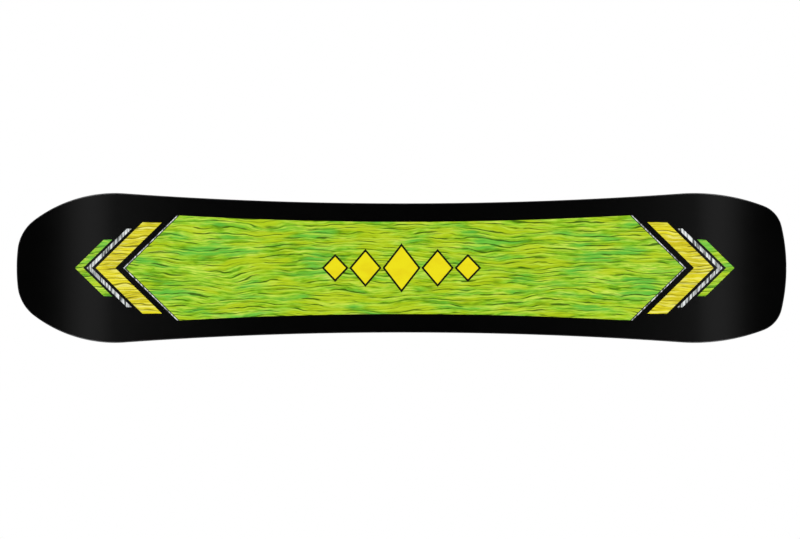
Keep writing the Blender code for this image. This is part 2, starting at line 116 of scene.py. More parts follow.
@dataclass(frozen=True)
class TipShape:
    """Length and rise of one tip, and the radii of its three arcs in plan."""

    length: float
    shoulder: float
    corner: float
    end: float
    rise: float

    def centres(self, half_width: float) -> tuple[Vector, Vector, Vector]:
        """Centres of the shoulder, corner and end arcs, seen from the widest line.

        Args:
            half_width: Half of the width at the widest line.

        Returns:
            The three centres in plan, with x growing towards the tip's end.
        """
        first = Vector((0, half_width - self.shoulder))
        last = Vector((self.length - self.end, 0))
        span = last - first
        near, far = self.shoulder - self.corner, self.end - self.corner
        along = (near**2 - far**2 + span.length_squared) / (2 * span.length)
        across = math.sqrt(near**2 - along**2)
        ahead = span.normalized()
        return first, first + ahead * along + Vector((ahead.y, -ahead.x)) * across, last

    def lift(self, beyond: float) -> Vector:
        """Height and slope of the base in the tip.

        Args:
            beyond: Distance past the widest line.

        Returns:
            A vector of height and slope.
        """
        radius = (self.length**2 + self.rise**2) / (2 * self.rise)
        drop = math.sqrt(max(radius**2 - beyond**2, WELD))
        return Vector((radius - drop, beyond / drop))


@dataclass(frozen=True)
class Stack:
    """Thickness of each layer of the flat stack, and what steps or leans in it.

    The sides lean inward from the steel edge up. Each layer takes half of each glue line.
    """

    base: float = 0.0012
    glue: float = 0.0003
    flange: float = 0.0005
    rubber: float = 0.0002
    glass: float = 0.0006
    core: float = 0.0062
    tip_spacer: float = 0.0022
    topsheet: float = 0.0006
    lean: float = math.radians(12)
    step_run: float = 0.0022
    flange_reach: float = 0.0065
    rubber_overhang: float = 0.0005
    foil_gap: float = 0.00045
    sidewall_land: float = 0.0003

    @property
    def edge_top(self) -> float:
        """Top of the steel edge."""
        return self.base + self.glue + self.flange

    @property
    def glass_rim(self) -> float:
        """Underside of the lower laminate where it lies over the edge."""
        return self.edge_top + self.rubber + 2 * self.glue

    @property
    def glass_floor(self) -> float:
        """Underside of the lower laminate where it lies on the base sheet."""
        return self.base + self.glue

    @property
    def core_rim(self) -> float:
        """Underside of the sidewall's land over the edge."""
        return self.glass_rim + self.glass + self.glue

    @property
    def core_floor(self) -> float:
        """Underside of the wood."""
        return self.glass_floor + self.glass + self.glue

    @property
    def core_top(self) -> float:
        """Top of the wood between the feet."""
        return self.core_floor + self.core

    @property
    def upper_glass(self) -> float:
        """Underside of the upper laminate."""
        return self.core_top + self.glue

    @property
    def topsheet_bottom(self) -> float:
        """Underside of the topsheet."""
        return self.upper_glass + self.glass + self.glue

    @property
    def top(self) -> float:
        """Upper face of the topsheet."""
        return self.topsheet_bottom + self.topsheet

    def side_inset(self, height: float) -> float:
        """How far the leaning side stands in from the base's outline at a height."""
        return max(0.0, height - self.edge_top) * math.tan(self.lean)

    def step_insets(self, above: float) -> tuple[float, float]:
        """Start and end of the laminate's step.

        Args:
            above: Distance of the surface from the laminate's underside.

        Returns:
            Insets of the step's outer and inner line.
        """
        slope = math.atan2(self.glass_rim - self.glass_floor, self.step_run)
        start = self.flange_reach + self.rubber_overhang + self.foil_gap
        start += above * math.tan(slope / 2)
        return start, start + self.step_run

    @property
    def wall_inset(self) -> float:
        """Inset of the sidewall's inner face."""
        return self.step_insets(self.glass + self.glue)[1] + self.sidewall_land


@dataclass(frozen=True)
class BoardShape:
    """Plan outline and pressed profile of the board.

    The wood is whole between the feet and for pad_half beyond them, thins out towards the
    widest lines and ends core_overrun past them. The outline's steps are at most a chord
    long, and the broad faces bend at every tip_step in the tips and body_step between.
    """

    length: float = 1.580
    tip_width: float = 0.307
    waist_width: float = 0.2647
    nose: TipShape = TipShape(0.203, 0.278, 0.086, 0.353, 0.050)
    tail: TipShape = TipShape(0.190, 0.404, 0.060, 0.370, 0.045)
    camber: float = 0.006
    stance: float = 0.560
    setback: float = 0.0125
    pad_half: float = 0.0625
    core_overrun: float = 0.015
    chord: float = 0.005
    tip_step: float = 0.007
    body_step: float = 0.020
    stack: Stack = Stack()

    def plan(self, tip: Tip) -> TipShape:
        """Shape of one tip."""
        return self.nose if tip is Tip.NOSE else self.tail

    def widest(self, tip: Tip) -> float:
        """Line of a tip's greatest width."""
        return tip.value * (self.length / 2 - self.plan(tip).length)

    def joint(self, tip: Tip) -> float:
        """Line where the wood ends and a tip's spacer begins."""
        return self.widest(tip) + tip.value * self.core_overrun

    @property
    def feet(self) -> dict[str, float]:
        """Middle line of each foot's inserts."""
        middle = sum(self.widest(tip) for tip in Tip) / 2 - self.setback
        return {"front": middle + self.stance / 2, "rear": middle - self.stance / 2}

    @cached_property
    def sidecut(self) -> tuple[Vector, float]:
        """Arc that touches both shoulders on the left side.

        Returns:
            Its centre and its radius.
        """
        depth = (self.tip_width - self.waist_width) / 2
        squares = []
        for tip in Tip:
            shoulder = self.plan(tip).shoulder
            squares.append(self.widest(tip) ** 2 + (shoulder - depth) ** 2 - shoulder**2)
        nose, tail = (self.widest(tip) for tip in Tip)
        x = (squares[0] - squares[1]) / (2 * (nose - tail))
        radius = (squares[0] - 2 * nose * x + x**2) / (2 * depth)
        return Vector((x, self.waist_width / 2 + radius)), radius

    def side_at(self, x: float, inset: float) -> Vector:
        """Point in plan on the left sidecut, moved inward."""
        centre, radius = self.sidecut
        return Vector((x, centre.y - math.sqrt((radius + inset) ** 2 - (x - centre.x) ** 2)))

    def outline(self) -> Contour:
        """Draw the board's outline arc by arc, from the nose around the left side.

        Returns:
            The closed outline.
        """
        half, side = self.tip_width / 2, self.sidecut[0]
        ahead, behind = ([Vector((self.widest(tip) + tip.value * centre.x, centre.y))
                          for centre in self.plan(tip).centres(half)] for tip in Tip)
        turns = [
            (ahead[2], ahead[1] - ahead[2]),
            (ahead[1], ahead[1] - ahead[0]),
            (ahead[0], side - ahead[0]),
            (side, behind[0] - side),
            (behind[0], behind[1] - behind[0]),
            (behind[1], behind[1] - behind[2]),
            (behind[2], Vector((-1, 0))),
        ]
        pen = Pen(Vector((self.length / 2, 0)))
        for centre, goal in turns:
            pen.turn(centre, goal, self.chord)
        return pen.mirrored()

    @cached_property
    def bend_lines(self) -> list[float]:
        """Lines across the board at which its broad faces bend.

        Returns:
            Their places along X, in rising order.
        """
        marks = [-self.length / 2, self.widest(Tip.TAIL), self.widest(Tip.NOSE), self.length / 2]
        steps = (self.tip_step, self.body_step, self.tip_step)
        lines: list[float] = []
        for start, end, step in zip(marks, marks[1:], steps):
            count = math.ceil((end - start) / step)
            lines += [start + (end - start) * i / count for i in range(count)]
        return lines[1:]

    def rocker(self, x: float) -> Vector:
        """Height and slope of the base: camber between the widest lines, then tips.

        Args:
            x: Place along the board.

        Returns:
            A vector of height and slope.
        """
        for tip in Tip:
            beyond = tip.value * (x - self.widest(tip))
            if beyond > 0:
                height, slope = self.plan(tip).lift(beyond)
                return Vector((height, tip.value * slope))
        nose, tail = (self.widest(tip) for tip in Tip)
        half = (nose - tail) / 2
        s = (x - (nose + tail) / 2) / half
        return Vector((self.camber * (1 - s**2) ** 2, -4 * self.camber * s * (1 - s**2) / half))

    def core_share(self, x: float) -> float:
        """Share of the full wood: whole between the feet, tapering to the tips.

        Args:
            x: Place along the board.

        Returns:
            1 between the feet, 0 at the tips.
        """
        front, rear = self.feet["front"] + self.pad_half, self.feet["rear"] - self.pad_half
        ahead = (x - front) / (self.widest(Tip.NOSE) - front)
        behind = (rear - x) / (rear - self.widest(Tip.TAIL))
        away = min(max(ahead, behind, 0.0), 1.0)
        return 0.5 + 0.5 * math.cos(math.pi * away)

    def pressed(self, point: Vector) -> Vector:
        """Where a point of the flat stack lies in the finished board.

        Args:
            point: The point, with its height in the stack.

        Returns:
            The same point after pressing.
        """
        stack = self.stack
        taper = (stack.core - stack.tip_spacer) * (1 - self.core_share(point.x))
        part = (point.z - stack.core_rim) / (stack.core_top - stack.core_rim)
        height = point.z - taper * min(max(part, 0.0), 1.0)
        base, slope = self.rocker(point.x)
        up = Vector((-slope, 0, 1)).normalized()
        return Vector((point.x, point.y, base)) + up * height

    def press(self, bm: BMesh) -> BMesh:
        """Bend a flat mesh to the finished board.

        Args:
            bm: Mesh in the flat stack.

        Returns:
            The same mesh.
        """
        for vert in bm.verts:
            vert.co = self.pressed(vert.co)
        return bm

    def crease(self, bm: BMesh) -> BMesh:
        """Cut a flat mesh at the bend lines, so that its broad faces can bend there.

        Args:
            bm: Mesh in the flat stack.

        Returns:
            The same mesh.
        """
        low = min(vert.co.x for vert in bm.verts)
        high = max(vert.co.x for vert in bm.verts)
        for x in self.bend_lines:
            if low < x < high:
                geometry = bm.verts[:] + bm.edges[:] + bm.faces[:]
                bmesh.ops.bisect_plane(bm, geom=geometry, dist=WELD, plane_co=(x, 0, 0),
                                       plane_no=(1, 0, 0))
        return bm

    def formed(self, bm: BMesh) -> BMesh:
        """Crease a flat mesh and press it."""
        return self.press(self.crease(bm))


# Drawing and raising flat shapes


class Pen:
    """Draws the left half of a plan line from the nose end to the tail end."""

    def __init__(self, start: Vector) -> None:
        """Put the pen down on a point of the centre line."""
        self.bm = bmesh.new()
        self.here = self.bm.verts.new((start.x, start.y, 0))

    def turn(self, centre: Vector, goal: Vector, chord: float) -> None:
        """Follow an arc until its radius points along the goal.

        On a wide arc the steps' rounding adds up, so its points are put back on the circle.

        Args:
            centre: Centre of the arc.
            goal: Direction from the centre to the arc's last point.
            chord: Longest step along the arc.
        """
        arm = self.here.co.to_2d() - centre
        angle = math.atan2(arm.cross(goal), arm.dot(goal))
        steps = max(1, math.ceil(abs(angle) * arm.length / chord))
        known = len(self.bm.verts)
        made = bmesh.ops.spin(self.bm, geom=[self.here], cent=centre.to_3d(),
                              axis=(0, 0, 1), angle=angle, steps=steps)
        self.here = made["geom_last"][0]
        for vert in self.bm.verts[known:]:
            spoke = vert.co.to_2d() - centre
            vert.co = (centre + spoke * (arm.length / spoke.length)).to_3d()

    def line(self, goal: Vector) -> None:
        """Draw a straight line to a point."""
        self.here = bmesh.ops.extrude_vert_indiv(self.bm, verts=[self.here])["verts"][0]
        self.here.co = goal.to_3d()

    def mirrored(self) -> Contour:
        """Close the line with its mirror image on the right side.

        Returns:
            The closed line.
        """
        everything = self.bm.verts[:] + self.bm.edges[:]
        bmesh.ops.mirror(self.bm, geom=everything, matrix=Matrix.Identity(4),
                         merge_dist=WELD, axis="Y")
        return Contour(self.bm)


class Contour:
    """Closed plan line that knows its inward direction and length at every point."""

    def __init__(self, bm: BMesh) -> None:
        """Take a closed line and note its directions.

        Args:
            bm: Mesh that holds one closed loop of edges in the XY plane.
        """
        self.bm = bm
        inward = bm.verts.layers.float_vector.new("inward")
        along = bm.verts.layers.float.new("along")
        bm.verts.layers.int.new("ring")
        face = bmesh.ops.contextual_create(bm, geom=bm.edges[:])["faces"][0]
        face.normal_update()
        if face.normal.z < 0:
            face.normal_flip()
        round_trip = face.calc_perimeter()
        loop = max(face.loops, key=lambda loop: loop.vert.co.x - abs(loop.vert.co.y))
        walked = 0.0
        for _ in range(len(face.loops)):
            here = loop.vert.co
            into = (here - loop.link_loop_prev.vert.co).normalized()
            out = (loop.link_loop_next.vert.co - here).normalized()
            first, second = Vector((-into.y, into.x, 0)), Vector((-out.y, out.x, 0))
            loop.vert[inward] = (first + second) / (1 + first.dot(second))
            loop.vert[along] = min(walked, round_trip - walked)
            walked += loop.edge.calc_length()
            loop = loop.link_loop_next
        self.length = round_trip
        bmesh.ops.delete(bm, geom=[face], context="FACES_ONLY")

    def moved_in(self, inset: float) -> Contour:
        """Draw the same line further in, with its sides parallel.

        Args:
            inset: Distance between the two lines.

        Returns:
            The new line.
        """
        bm = self.bm.copy()
        inward = bm.verts.layers.float_vector["inward"]
        for vert in bm.verts:
            vert.co += vert[inward] * inset
        return Contour(bm)

    def raised(self, rings: Sequence[Ring], hollow: bool = False) -> BMesh:
        """Closed solid through rings of the contour.

        Args:
            rings: Inset and height of each ring, in order.
            hollow: True for a rim, whose last ring joins its first; False for a sheet,
                whose first and last ring are filled.

        Returns:
            The solid as a new mesh.
        """
        bm = self.bm.copy()
        inward = bm.verts.layers.float_vector["inward"]
        ring_of = bm.verts.layers.int["ring"]
        first = edges = bm.edges[:]
        for vert in bm.verts:
            vert.co += vert[inward] * rings[0][0] + Vector((0, 0, rings[0][1]))
        path = list(rings) + [rings[0]] * hollow
        for index, (here, there) in enumerate(zip(path, path[1:]), 1):
            made = bmesh.ops.extrude_edge_only(bm, edges=edges)["geom"]
            edges = [part for part in made if isinstance(part, BMEdge)]
            rise = Vector((0, 0, there[1] - here[1]))
            for vert in (part for part in made if isinstance(part, BMVert)):
                vert.co += vert[inward] * (there[0] - here[0]) + rise
                vert[ring_of] = index
        if hollow:
            bmesh.ops.remove_doubles(bm, verts=bm.verts, dist=WELD)
        else:
            bmesh.ops.edgeloop_fill(bm, edges=first)
            bmesh.ops.edgeloop_fill(bm, edges=edges)
        bmesh.ops.recalc_face_normals(bm, faces=bm.faces)
        return bm


def settled(name: str, bm: BMesh) -> bpy.types.Mesh:
    """Turn a bmesh into a mesh.

    Args:
        name: Name of the mesh.
        bm: The bmesh; it is used up.

    Returns:
        The new mesh.
    """
    mesh = bpy.data.meshes.new(name)
    bm.to_mesh(mesh)
    bm.free()
    return mesh


def set_out(name: str, content: bpy.types.ID) -> bpy.types.Object:
    """Put a mesh, a light or a camera in the scene.

    Args:
        name: Name of the object.
        content: What the object holds.

    Returns:
        The new object.
    """
    made = bpy.data.objects.new(name, content)
    bpy.context.collection.objects.link(made)
    return made


def trimmed(bm: BMesh, place: Vector, outward: Vector) -> BMesh:
    """Cut away what lies beyond a plane and close the cut.

    Args:
        bm: Closed solid.
        place: A point of the plane.
        outward: Direction of the part that goes.

    Returns:
        The same mesh.
    """
    geometry = bm.verts[:] + bm.edges[:] + bm.faces[:]
    cut = bmesh.ops.bisect_plane(bm, geom=geometry, dist=WELD, plane_co=place,
                                 plane_no=outward, clear_outer=True)
    edges = [part for part in cut["geom_cut"] if isinstance(part, BMEdge)]
    bmesh.ops.edgeloop_fill(bm, edges=edges)
    bmesh.ops.recalc_face_normals(bm, faces=bm.faces)
    return bm


def pierced(bm: BMesh, cutter: BMesh) -> BMesh:
    """A solid with another taken away.

    Args:
        bm: Solid to cut; it is used up.
        cutter: Solid to take away; it is used up.

    Returns:
        The rest as a new mesh.
    """
    blanks = [set_out("blank", settled("blank", source)) for source in (bm, cutter)]
    modifier = blanks[0].modifiers.new("cut", "BOOLEAN")
    modifier.operation = "DIFFERENCE"
    modifier.solver = "EXACT"
    modifier.object = blanks[1]
    result = bmesh.new()
    result.from_object(blanks[0], bpy.context.evaluated_depsgraph_get())
    for blank in blanks:
        bpy.data.objects.remove(blank)
    return result


def joined(parts: Iterable[BMesh]) -> BMesh:
    """Put several meshes into one.

    Args:
        parts: The meshes; they are used up.

    Returns:
        The new mesh.
    """
    result = bmesh.new()
    for part in parts:
        mesh = settled("part", part)
        result.from_mesh(mesh)
        bpy.data.meshes.remove(mesh)
    return result


def add_piece(name: str, bm: BMesh, finish: Finish, *stands_for: str) -> None:
    """Make a finished piece that rides on the board.

    Args:
        name: Name of the piece.
        bm: Its mesh, already in place; it is used up.
        finish: Its surface.
        stands_for: Nodes of the model that it replaces.
    """
    mesh = settled(name, bm)
    mesh.materials.append(finish.material)
    mesh.shade_smooth()
    mesh.set_sharp_from_angle(angle=SMOOTH_ANGLE)
    piece = set_out(name, mesh)
    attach(piece, BODY)
    if stands_for:
        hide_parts(*stands_for)
    LOG.info("%s: %d faces", name, len(mesh.polygons))


# Shader maths


class Signal:
    """A value that flows through a node tree; arithmetic on it adds Math nodes."""

    def __init__(self, bench: Bench, socket: bpy.types.NodeSocket) -> None:
        """Wrap an output socket of the bench's node tree."""
        self.bench = bench
        self.socket = socket

    def __add__(self, other: Signal | float) -> Signal:
        """Sum."""
        return self.bench.math("ADD", self, other)

    __radd__ = __add__

    def __sub__(self, other: Signal | float) -> Signal:
        """Difference."""
        return self.bench.math("SUBTRACT", self, other)

    def __rsub__(self, other: float) -> Signal:
        """Difference from a number."""
        return self.bench.math("SUBTRACT", other, self)

    def __mul__(self, other: Signal | float) -> Signal:
        """Product."""
        return self.bench.math("MULTIPLY", self, other)

    __rmul__ = __mul__

    def __truediv__(self, other: Signal | float) -> Signal:
        """Quotient."""
        return self.bench.math("DIVIDE", self, other)

    def __rtruediv__(self, other: float) -> Signal:
        """Quotient of a number."""
        return self.bench.math("DIVIDE", other, self)

    def __abs__(self) -> Signal:
        """Size without sign."""
        return self.bench.math("ABSOLUTE", self)

    def wrapped(self) -> Signal:
        """Part after the decimal point."""
        return self.bench.math("FRACT", self)

    def eased(self, low: float, high: float) -> Signal:
        """Smooth climb from 0, at the low value, to 1, at the high one."""
        inputs = {"Value": self, "From Min": low, "From Max": high}
        return self.bench.out("ShaderNodeMapRange", {"interpolation_type": "SMOOTHSTEP"}, inputs)

    def spread(self, low: float, high: float) -> Signal:
        """What runs from 0 to 1, stretched to run between two values."""
        return self * (high - low) + low


class Bench:
    """Node tree of one material or of the world, and the tools that fill it."""

    # Sockets of a Mix node in its colour mode, by place.
    MIX_COLOURS = (6, 7)
    MIX_RESULT = 2

    def __init__(self, owner: bpy.types.Material | bpy.types.World) -> None:
        """Clear the owner's node tree.

        Args:
            owner: Material or world that is wired.
        """
        owner.use_nodes = True
        self.tree = owner.node_tree
        self.tree.nodes.clear()

    def node(self, kind: str, settings: Settings | None = None,
             inputs: Inputs | None = None) -> bpy.types.Node:
        """Add a node.

        Args:
            kind: Type of the node.
            settings: Its properties, which are set first; "stops" fills a colour ramp.
            inputs: Values or signals for its sockets, by name or place.

        Returns:
            The new node.
        """
        made = self.tree.nodes.new(kind)
        for name, value in (settings or {}).items():
            if name == "stops":
                self._fill_ramp(made.color_ramp, value)
            else:
                setattr(made, name, value)
        for name, value in (inputs or {}).items():
            if isinstance(value, Signal):
                self.tree.links.new(value.socket, made.inputs[name])
            else:
                made.inputs[name].default_value = value
        return made

    @staticmethod
    def _fill_ramp(ramp: bpy.types.ColorRamp, stops: Stops) -> None:
        """Set the stops of a colour ramp.

        Args:
            ramp: The ramp.
            stops: Place and colour of each stop, in order.
        """
        while len(ramp.elements) < len(stops):
            ramp.elements.new(1.0)
        for element, (place, colour) in zip(ramp.elements, stops):
            element.position = place
            element.color = (*colour, 1)

    def out(self, kind: str, settings: Settings | None = None, inputs: Inputs | None = None,
            place: int | str = 0) -> Signal:
        """Add a node and take one of its outputs."""
        return Signal(self, self.node(kind, settings, inputs).outputs[place])

    def math(self, operation: str, *values: Signal | float) -> Signal:
        """Add a Math node."""
        return self.out("ShaderNodeMath", {"operation": operation}, dict(enumerate(values)))

    def position(self) -> Signal:
        """Object coordinates, which are places on the board in metres."""
        return self.out("ShaderNodeTexCoord", place="Object")

    def parts(self, vector: Signal) -> tuple[Signal, Signal, Signal]:
        """The three parts of a vector."""
        made = self.node("ShaderNodeSeparateXYZ", inputs={0: vector})
        return tuple(Signal(self, output) for output in made.outputs)

    def vector(self, x: Signal | float, y: Signal | float, z: Signal | float = 0.0) -> Signal:
        """A vector from three values."""
        return self.out("ShaderNodeCombineXYZ", inputs={0: x, 1: y, 2: z})

    def rim(self) -> Signal:
        """Place on the rim: distance along it, height, and distance from the middle.

        Returns:
            The three as a vector.
        """
        x, y, z = self.parts(self.position())
        along = self.out("ShaderNodeAttribute", {"attribute_name": "along"}, place="Fac")
        return self.vector(along, z, abs(x) + abs(y))

    def mix(self, share: Signal | float, one: Signal | Colour, two: Signal | Colour) -> Signal:
        """Blend one colour into another.

        Args:
            share: Share of the second colour.
            one: First colour.
            two: Second colour.

        Returns:
            The blend.
        """
        inputs = {0: share}
        for place, colour in zip(self.MIX_COLOURS, (one, two)):
            inputs[place] = colour if isinstance(colour, Signal) else (*colour, 1)
        return self.out("ShaderNodeMix", {"data_type": "RGBA"}, inputs, self.MIX_RESULT)

    def ramp(self, value: Signal, stops: Stops) -> Signal:
        """Colour from a ramp."""
        return self.out("ShaderNodeValToRGB", {"stops": stops}, {0: value})

    def bump(self, height: Signal, strength: float, distance: float) -> Signal:
        """Normal of a surface with small relief."""
        inputs = {"Height": height, "Strength": strength, "Distance": distance}
        return self.out("ShaderNodeBump", inputs=inputs)

    def shade(self, **inputs: Signal | float | Colour) -> None:
        """Finish a material with a Principled shader.

        Args:
            inputs: Values or signals for its sockets, by their names in lower case.
        """
        named = {}
        for name, value in inputs.items():
            socket = name.replace("_", " ").title().replace("Ior", "IOR")
            named[socket] = (*value, 1) if isinstance(value, tuple) else value
        self.output(self.out("ShaderNodeBsdfPrincipled", inputs=named))

    def output(self, surface: Signal) -> None:
        """Send a shader to the material's output."""
        self.node("ShaderNodeOutputMaterial", inputs={"Surface": surface})


# Finishes


@dataclass(frozen=True)
class Finish:
    """A surface of the board or the studio; each kind wires its own nodes.

    The slot is a name that this script doesn't read, and is left out where no new piece wears the
    finish.
    """

    name: str
    slot: str = field(default="", kw_only=True)

    @cached_property
    def material(self) -> bpy.types.Material:
        """The finished material, made when it is first asked for.

        Returns:
            The material.
        """
        material = bpy.data.materials.new(self.name)
        self.wire(Bench(material))
        return material

    def wire(self, bench: Bench) -> None:
        """Fill the material's node tree, which is the bench."""
        raise NotImplementedError


@dataclass(frozen=True, kw_only=True)
class Layer:
    """One layer of a surface, and how much of it goes into tone, roughness and height."""

    tone: float = 0.0
    rough: float = 0.0
    height: float = 0.0

    def laid(self, bench: Bench) -> Signal:
        """Add the layer's nodes to the bench."""
        raise NotImplementedError


@dataclass(frozen=True)
class Grain(Layer):
    """Noise between 0 and 1, mostly near the middle, in grains per metre along each axis."""

    scale: Triple
    seed: float = 0.0
    detail: float = 2.0
    distortion: float = 0.0
    ease: Span | None = None
    along_rim: bool = False

    def laid(self, bench: Bench, on: Signal | None = None) -> Signal:
        """Lay the noise.

        Args:
            bench: Node tree of the material.
            on: Place that it is read at, where that isn't on the board or its rim.

        Returns:
            The noise, or what its easing picks out of it.
        """
        place = on or (bench.rim() if self.along_rim else bench.position())
        inputs = {0: place, 1: self.scale, 2: (0.0, 0.0, self.seed)}
        place = bench.out("ShaderNodeVectorMath", {"operation": "MULTIPLY_ADD"}, inputs)
        inputs = {"Vector": place, "Scale": 1.0, "Detail": self.detail,
                  "Distortion": self.distortion}
        noise = bench.out("ShaderNodeTexNoise", inputs=inputs)
        return noise.eased(*self.ease) if self.ease else noise


@dataclass(frozen=True)
class Weave(Layer):
    """Crossing threads of the laminate below, which show faintly through a film."""

    thread: float
    crossing: Span = (-0.35, 0.35)

    def laid(self, bench: Bench) -> Signal:
        """Lay warp and weft over each other.

        Args:
            bench: Node tree of the material.

        Returns:
            0 to 1, by which of the two threads lies on top.
        """
        x, y, _ = bench.parts(bench.position())
        warp, weft = (abs((place / self.thread).wrapped() - 0.5) for place in (x, y))
        return (warp - weft).eased(*self.crossing)


@dataclass(frozen=True)
class YearRings(Layer):
    """Year rings of a planed strip, which slant through it and sway along it."""

    pitch: float
    slant: float = 0.7
    sway: Grain = Grain((2.5, 14, 40))
    sway_reach: float = 3
    late_wood: Span = (0.1, 0.95)

    def laid(self, bench: Bench) -> Signal:
        """Lay the rings.

        Args:
            bench: Node tree of the material.

        Returns:
            0 in early wood to 1 in late wood.
        """
        _, y, z = bench.parts(bench.position())
        sway = self.sway.laid(bench) * self.sway_reach
        rings = abs(((y + z * self.slant) / self.pitch + sway).wrapped() - 0.5) * 2
        return rings.eased(*self.late_wood)


@dataclass(frozen=True)
class Surface(Finish):
    """A finish of two tones that is laid up from layers.

    Their summed tone turns the first colour into the second over the tone span, their
    summed roughness sets a place in the roughness span, and their summed height gives
    bumps of the relief, in metres.
    """

    first: Colour
    second: Colour
    tone: Span
    roughness: Span
    layers: tuple[Layer, ...]
    relief: float = 0.00002
    bump: float = 0.2
    metallic: float = 0.0
    gloss: float = 0.5
    coat: float = 0.0

    def wire(self, bench: Bench) -> None:
        """Add the layers up and feed them to a shader.

        Args:
            bench: Node tree of the material.
        """
        laid = [(layer, layer.laid(bench)) for layer in self.layers]
        sums = []
        for part in ("tone", "rough", "height"):
            shares = [(signal, getattr(layer, part)) for layer, signal in laid]
            sums.append(reduce(add, (signal * share for signal, share in shares if share)))
        tone, rough, height = sums
        bench.shade(base_color=bench.mix(tone.eased(*self.tone), self.first, self.second),
                    roughness=rough.spread(*self.roughness), metallic=self.metallic,
                    specular_ior_level=self.gloss, coat_weight=self.coat,
                    normal=bench.bump(height, self.bump, self.relief))


@dataclass(frozen=True)
class Strokes:
    """Thin broken brush strokes that run lengthwise, one to a lane.

    Their width is a share of the lane's. They sway by a few lanes at most and break off
    where the pressure is low.
    """

    width: float
    seed: float
    sway: float = 2.4
    sway_scale: Triple = (8, 30, 0)
    pressure: Span = (0.42, 0.64)
    pressure_scale: Triple = (20, 150, 0)
    pressure_seed: float = 3
    edge: Span = (-0.10, 0.14)

    def laid(self, bench: Bench, flow: Signal, lane: Signal) -> Signal:
        """Lay the strokes.

        Args:
            bench: Node tree of the material.
            flow: Place on the ground that the brush follows.
            lane: Place across the board, counted in lanes.

        Returns:
            1 on a stroke, 0 beside it.
        """
        sway = Grain(self.sway_scale, self.seed).laid(bench, flow) * self.sway
        off_line = abs((lane + sway).wrapped() - 0.5) * 2
        pressure = Grain(self.pressure_scale, self.seed + self.pressure_seed, ease=self.pressure)
        return 1 - (off_line - pressure.laid(bench, flow) * self.width).eased(*self.edge)


@dataclass(frozen=True)
class BrushedInk(Finish):
    """Ink drawn lengthwise with a coarse brush: thin dark strokes over flowing tones.

    The ground that the brush follows sways across the board by each noise times its reach
    in metres. Warm and cool patches lie on it, a few more warm ones about the middle of
    the board. Lanes are counted in the pitch of the bold strokes.
    """

    tones: Stops
    shadow: Colour
    gleam: Colour
    cool: Colour
    warm: Colour
    depth: float = 0.92
    sways: tuple[tuple[Grain, float], ...] = (
        (Grain((4, 9, 0), distortion=0.4), 0.044),
        (Grain((15, 34, 0), seed=5, detail=1), 0.008),
        (Grain((42, 60, 0), seed=6, detail=1), 0.0035),
    )
    fine: Grain = Grain((44, 330, 0), seed=7, detail=3)
    broad: Grain = Grain((11, 80, 0), seed=2)
    patches: Grain = Grain((9, 44, 0), seed=9, detail=3)
    contrast: Span = (0.34, 0.66)
    tint: float = 0.75
    middle_fade: Span = (0.05, 0.50)
    middle_warmer: float = 0.07
    middle_less_cool: float = 0.04
    warm_patch: Span = (0.50, 0.66)
    cool_patch: Span = (0.49, 0.64)
    pitch: float = 0.0096
    bold: Strokes = Strokes(0.24, seed=11)
    thin: Strokes = Strokes(0.26, seed=17)
    thin_lane: float = 0.55
    thin_depth: float = 0.6
    bright: Strokes = Strokes(0.30, seed=11)
    bright_shift: float = 0.3
    shine: float = 0.65
    full_ink: float = 1.1
    roughness: float = 0.34
    bold_rougher: float = 0.05
    fine_rougher: float = 0.08
    bold_sunk: float = 0.3
    bump: float = 0.2
    relief: float = 0.00003

    def flow(self, bench: Bench) -> tuple[Signal, Signal]:
        """Ground that the brush follows.

        Args:
            bench: Node tree of the material.

        Returns:
            The place on that ground, and its part across the board.
        """
        x, across, _ = bench.parts(bench.position())
        for noise, reach in self.sways:
            across = across + (noise.laid(bench) - 0.5) * reach
        return bench.vector(x, across), across

    def ground(self, bench: Bench, broad: Signal, fine: Signal, patches: Signal) -> Signal:
        """Colour of the ink under the strokes.

        Args:
            bench: Node tree of the material.
            broad: Broad noise of the tones.
            fine: Fine noise of the tones.
            patches: Noise of the warm and cool patches.

        Returns:
            The colour.
        """
        tone = bench.ramp((broad * 0.5 + fine * 0.5).eased(*self.contrast), self.tones)
        middle = 1 - abs(bench.parts(bench.position())[0]).eased(*self.middle_fade)
        warm = (patches + middle * self.middle_warmer).eased(*self.warm_patch) * self.tint
        cool = (1 - patches - middle * self.middle_less_cool).eased(*self.cool_patch) * self.tint
        return bench.mix(warm, bench.mix(cool, tone, self.cool), self.warm)

    def wire(self, bench: Bench) -> None:
        """Lay the ground, then gleams, then the dark strokes over them.

        Args:
            bench: Node tree of the material.
        """
        flow, across = self.flow(bench)
        broad, fine, patches = (noise.laid(bench, flow)
                                for noise in (self.broad, self.fine, self.patches))
        lane = across / self.pitch
        bold = self.bold.laid(bench, flow, lane)
        thin = self.thin.laid(bench, flow, lane / self.thin_lane)
        bright = self.bright.laid(bench, flow, lane + self.bright_shift) * self.shine
        lit = bench.mix(bright, self.ground(bench, broad, fine, patches), self.gleam)
        drawn = (bold + thin * self.thin_depth).eased(0.0, self.full_ink) * self.depth
        bench.shade(base_color=bench.mix(drawn, lit, self.shadow),
                    roughness=self.roughness + bold * self.bold_rougher + fine * self.fine_rougher,
                    normal=bench.bump(fine - bold * self.bold_sunk, self.bump, self.relief))


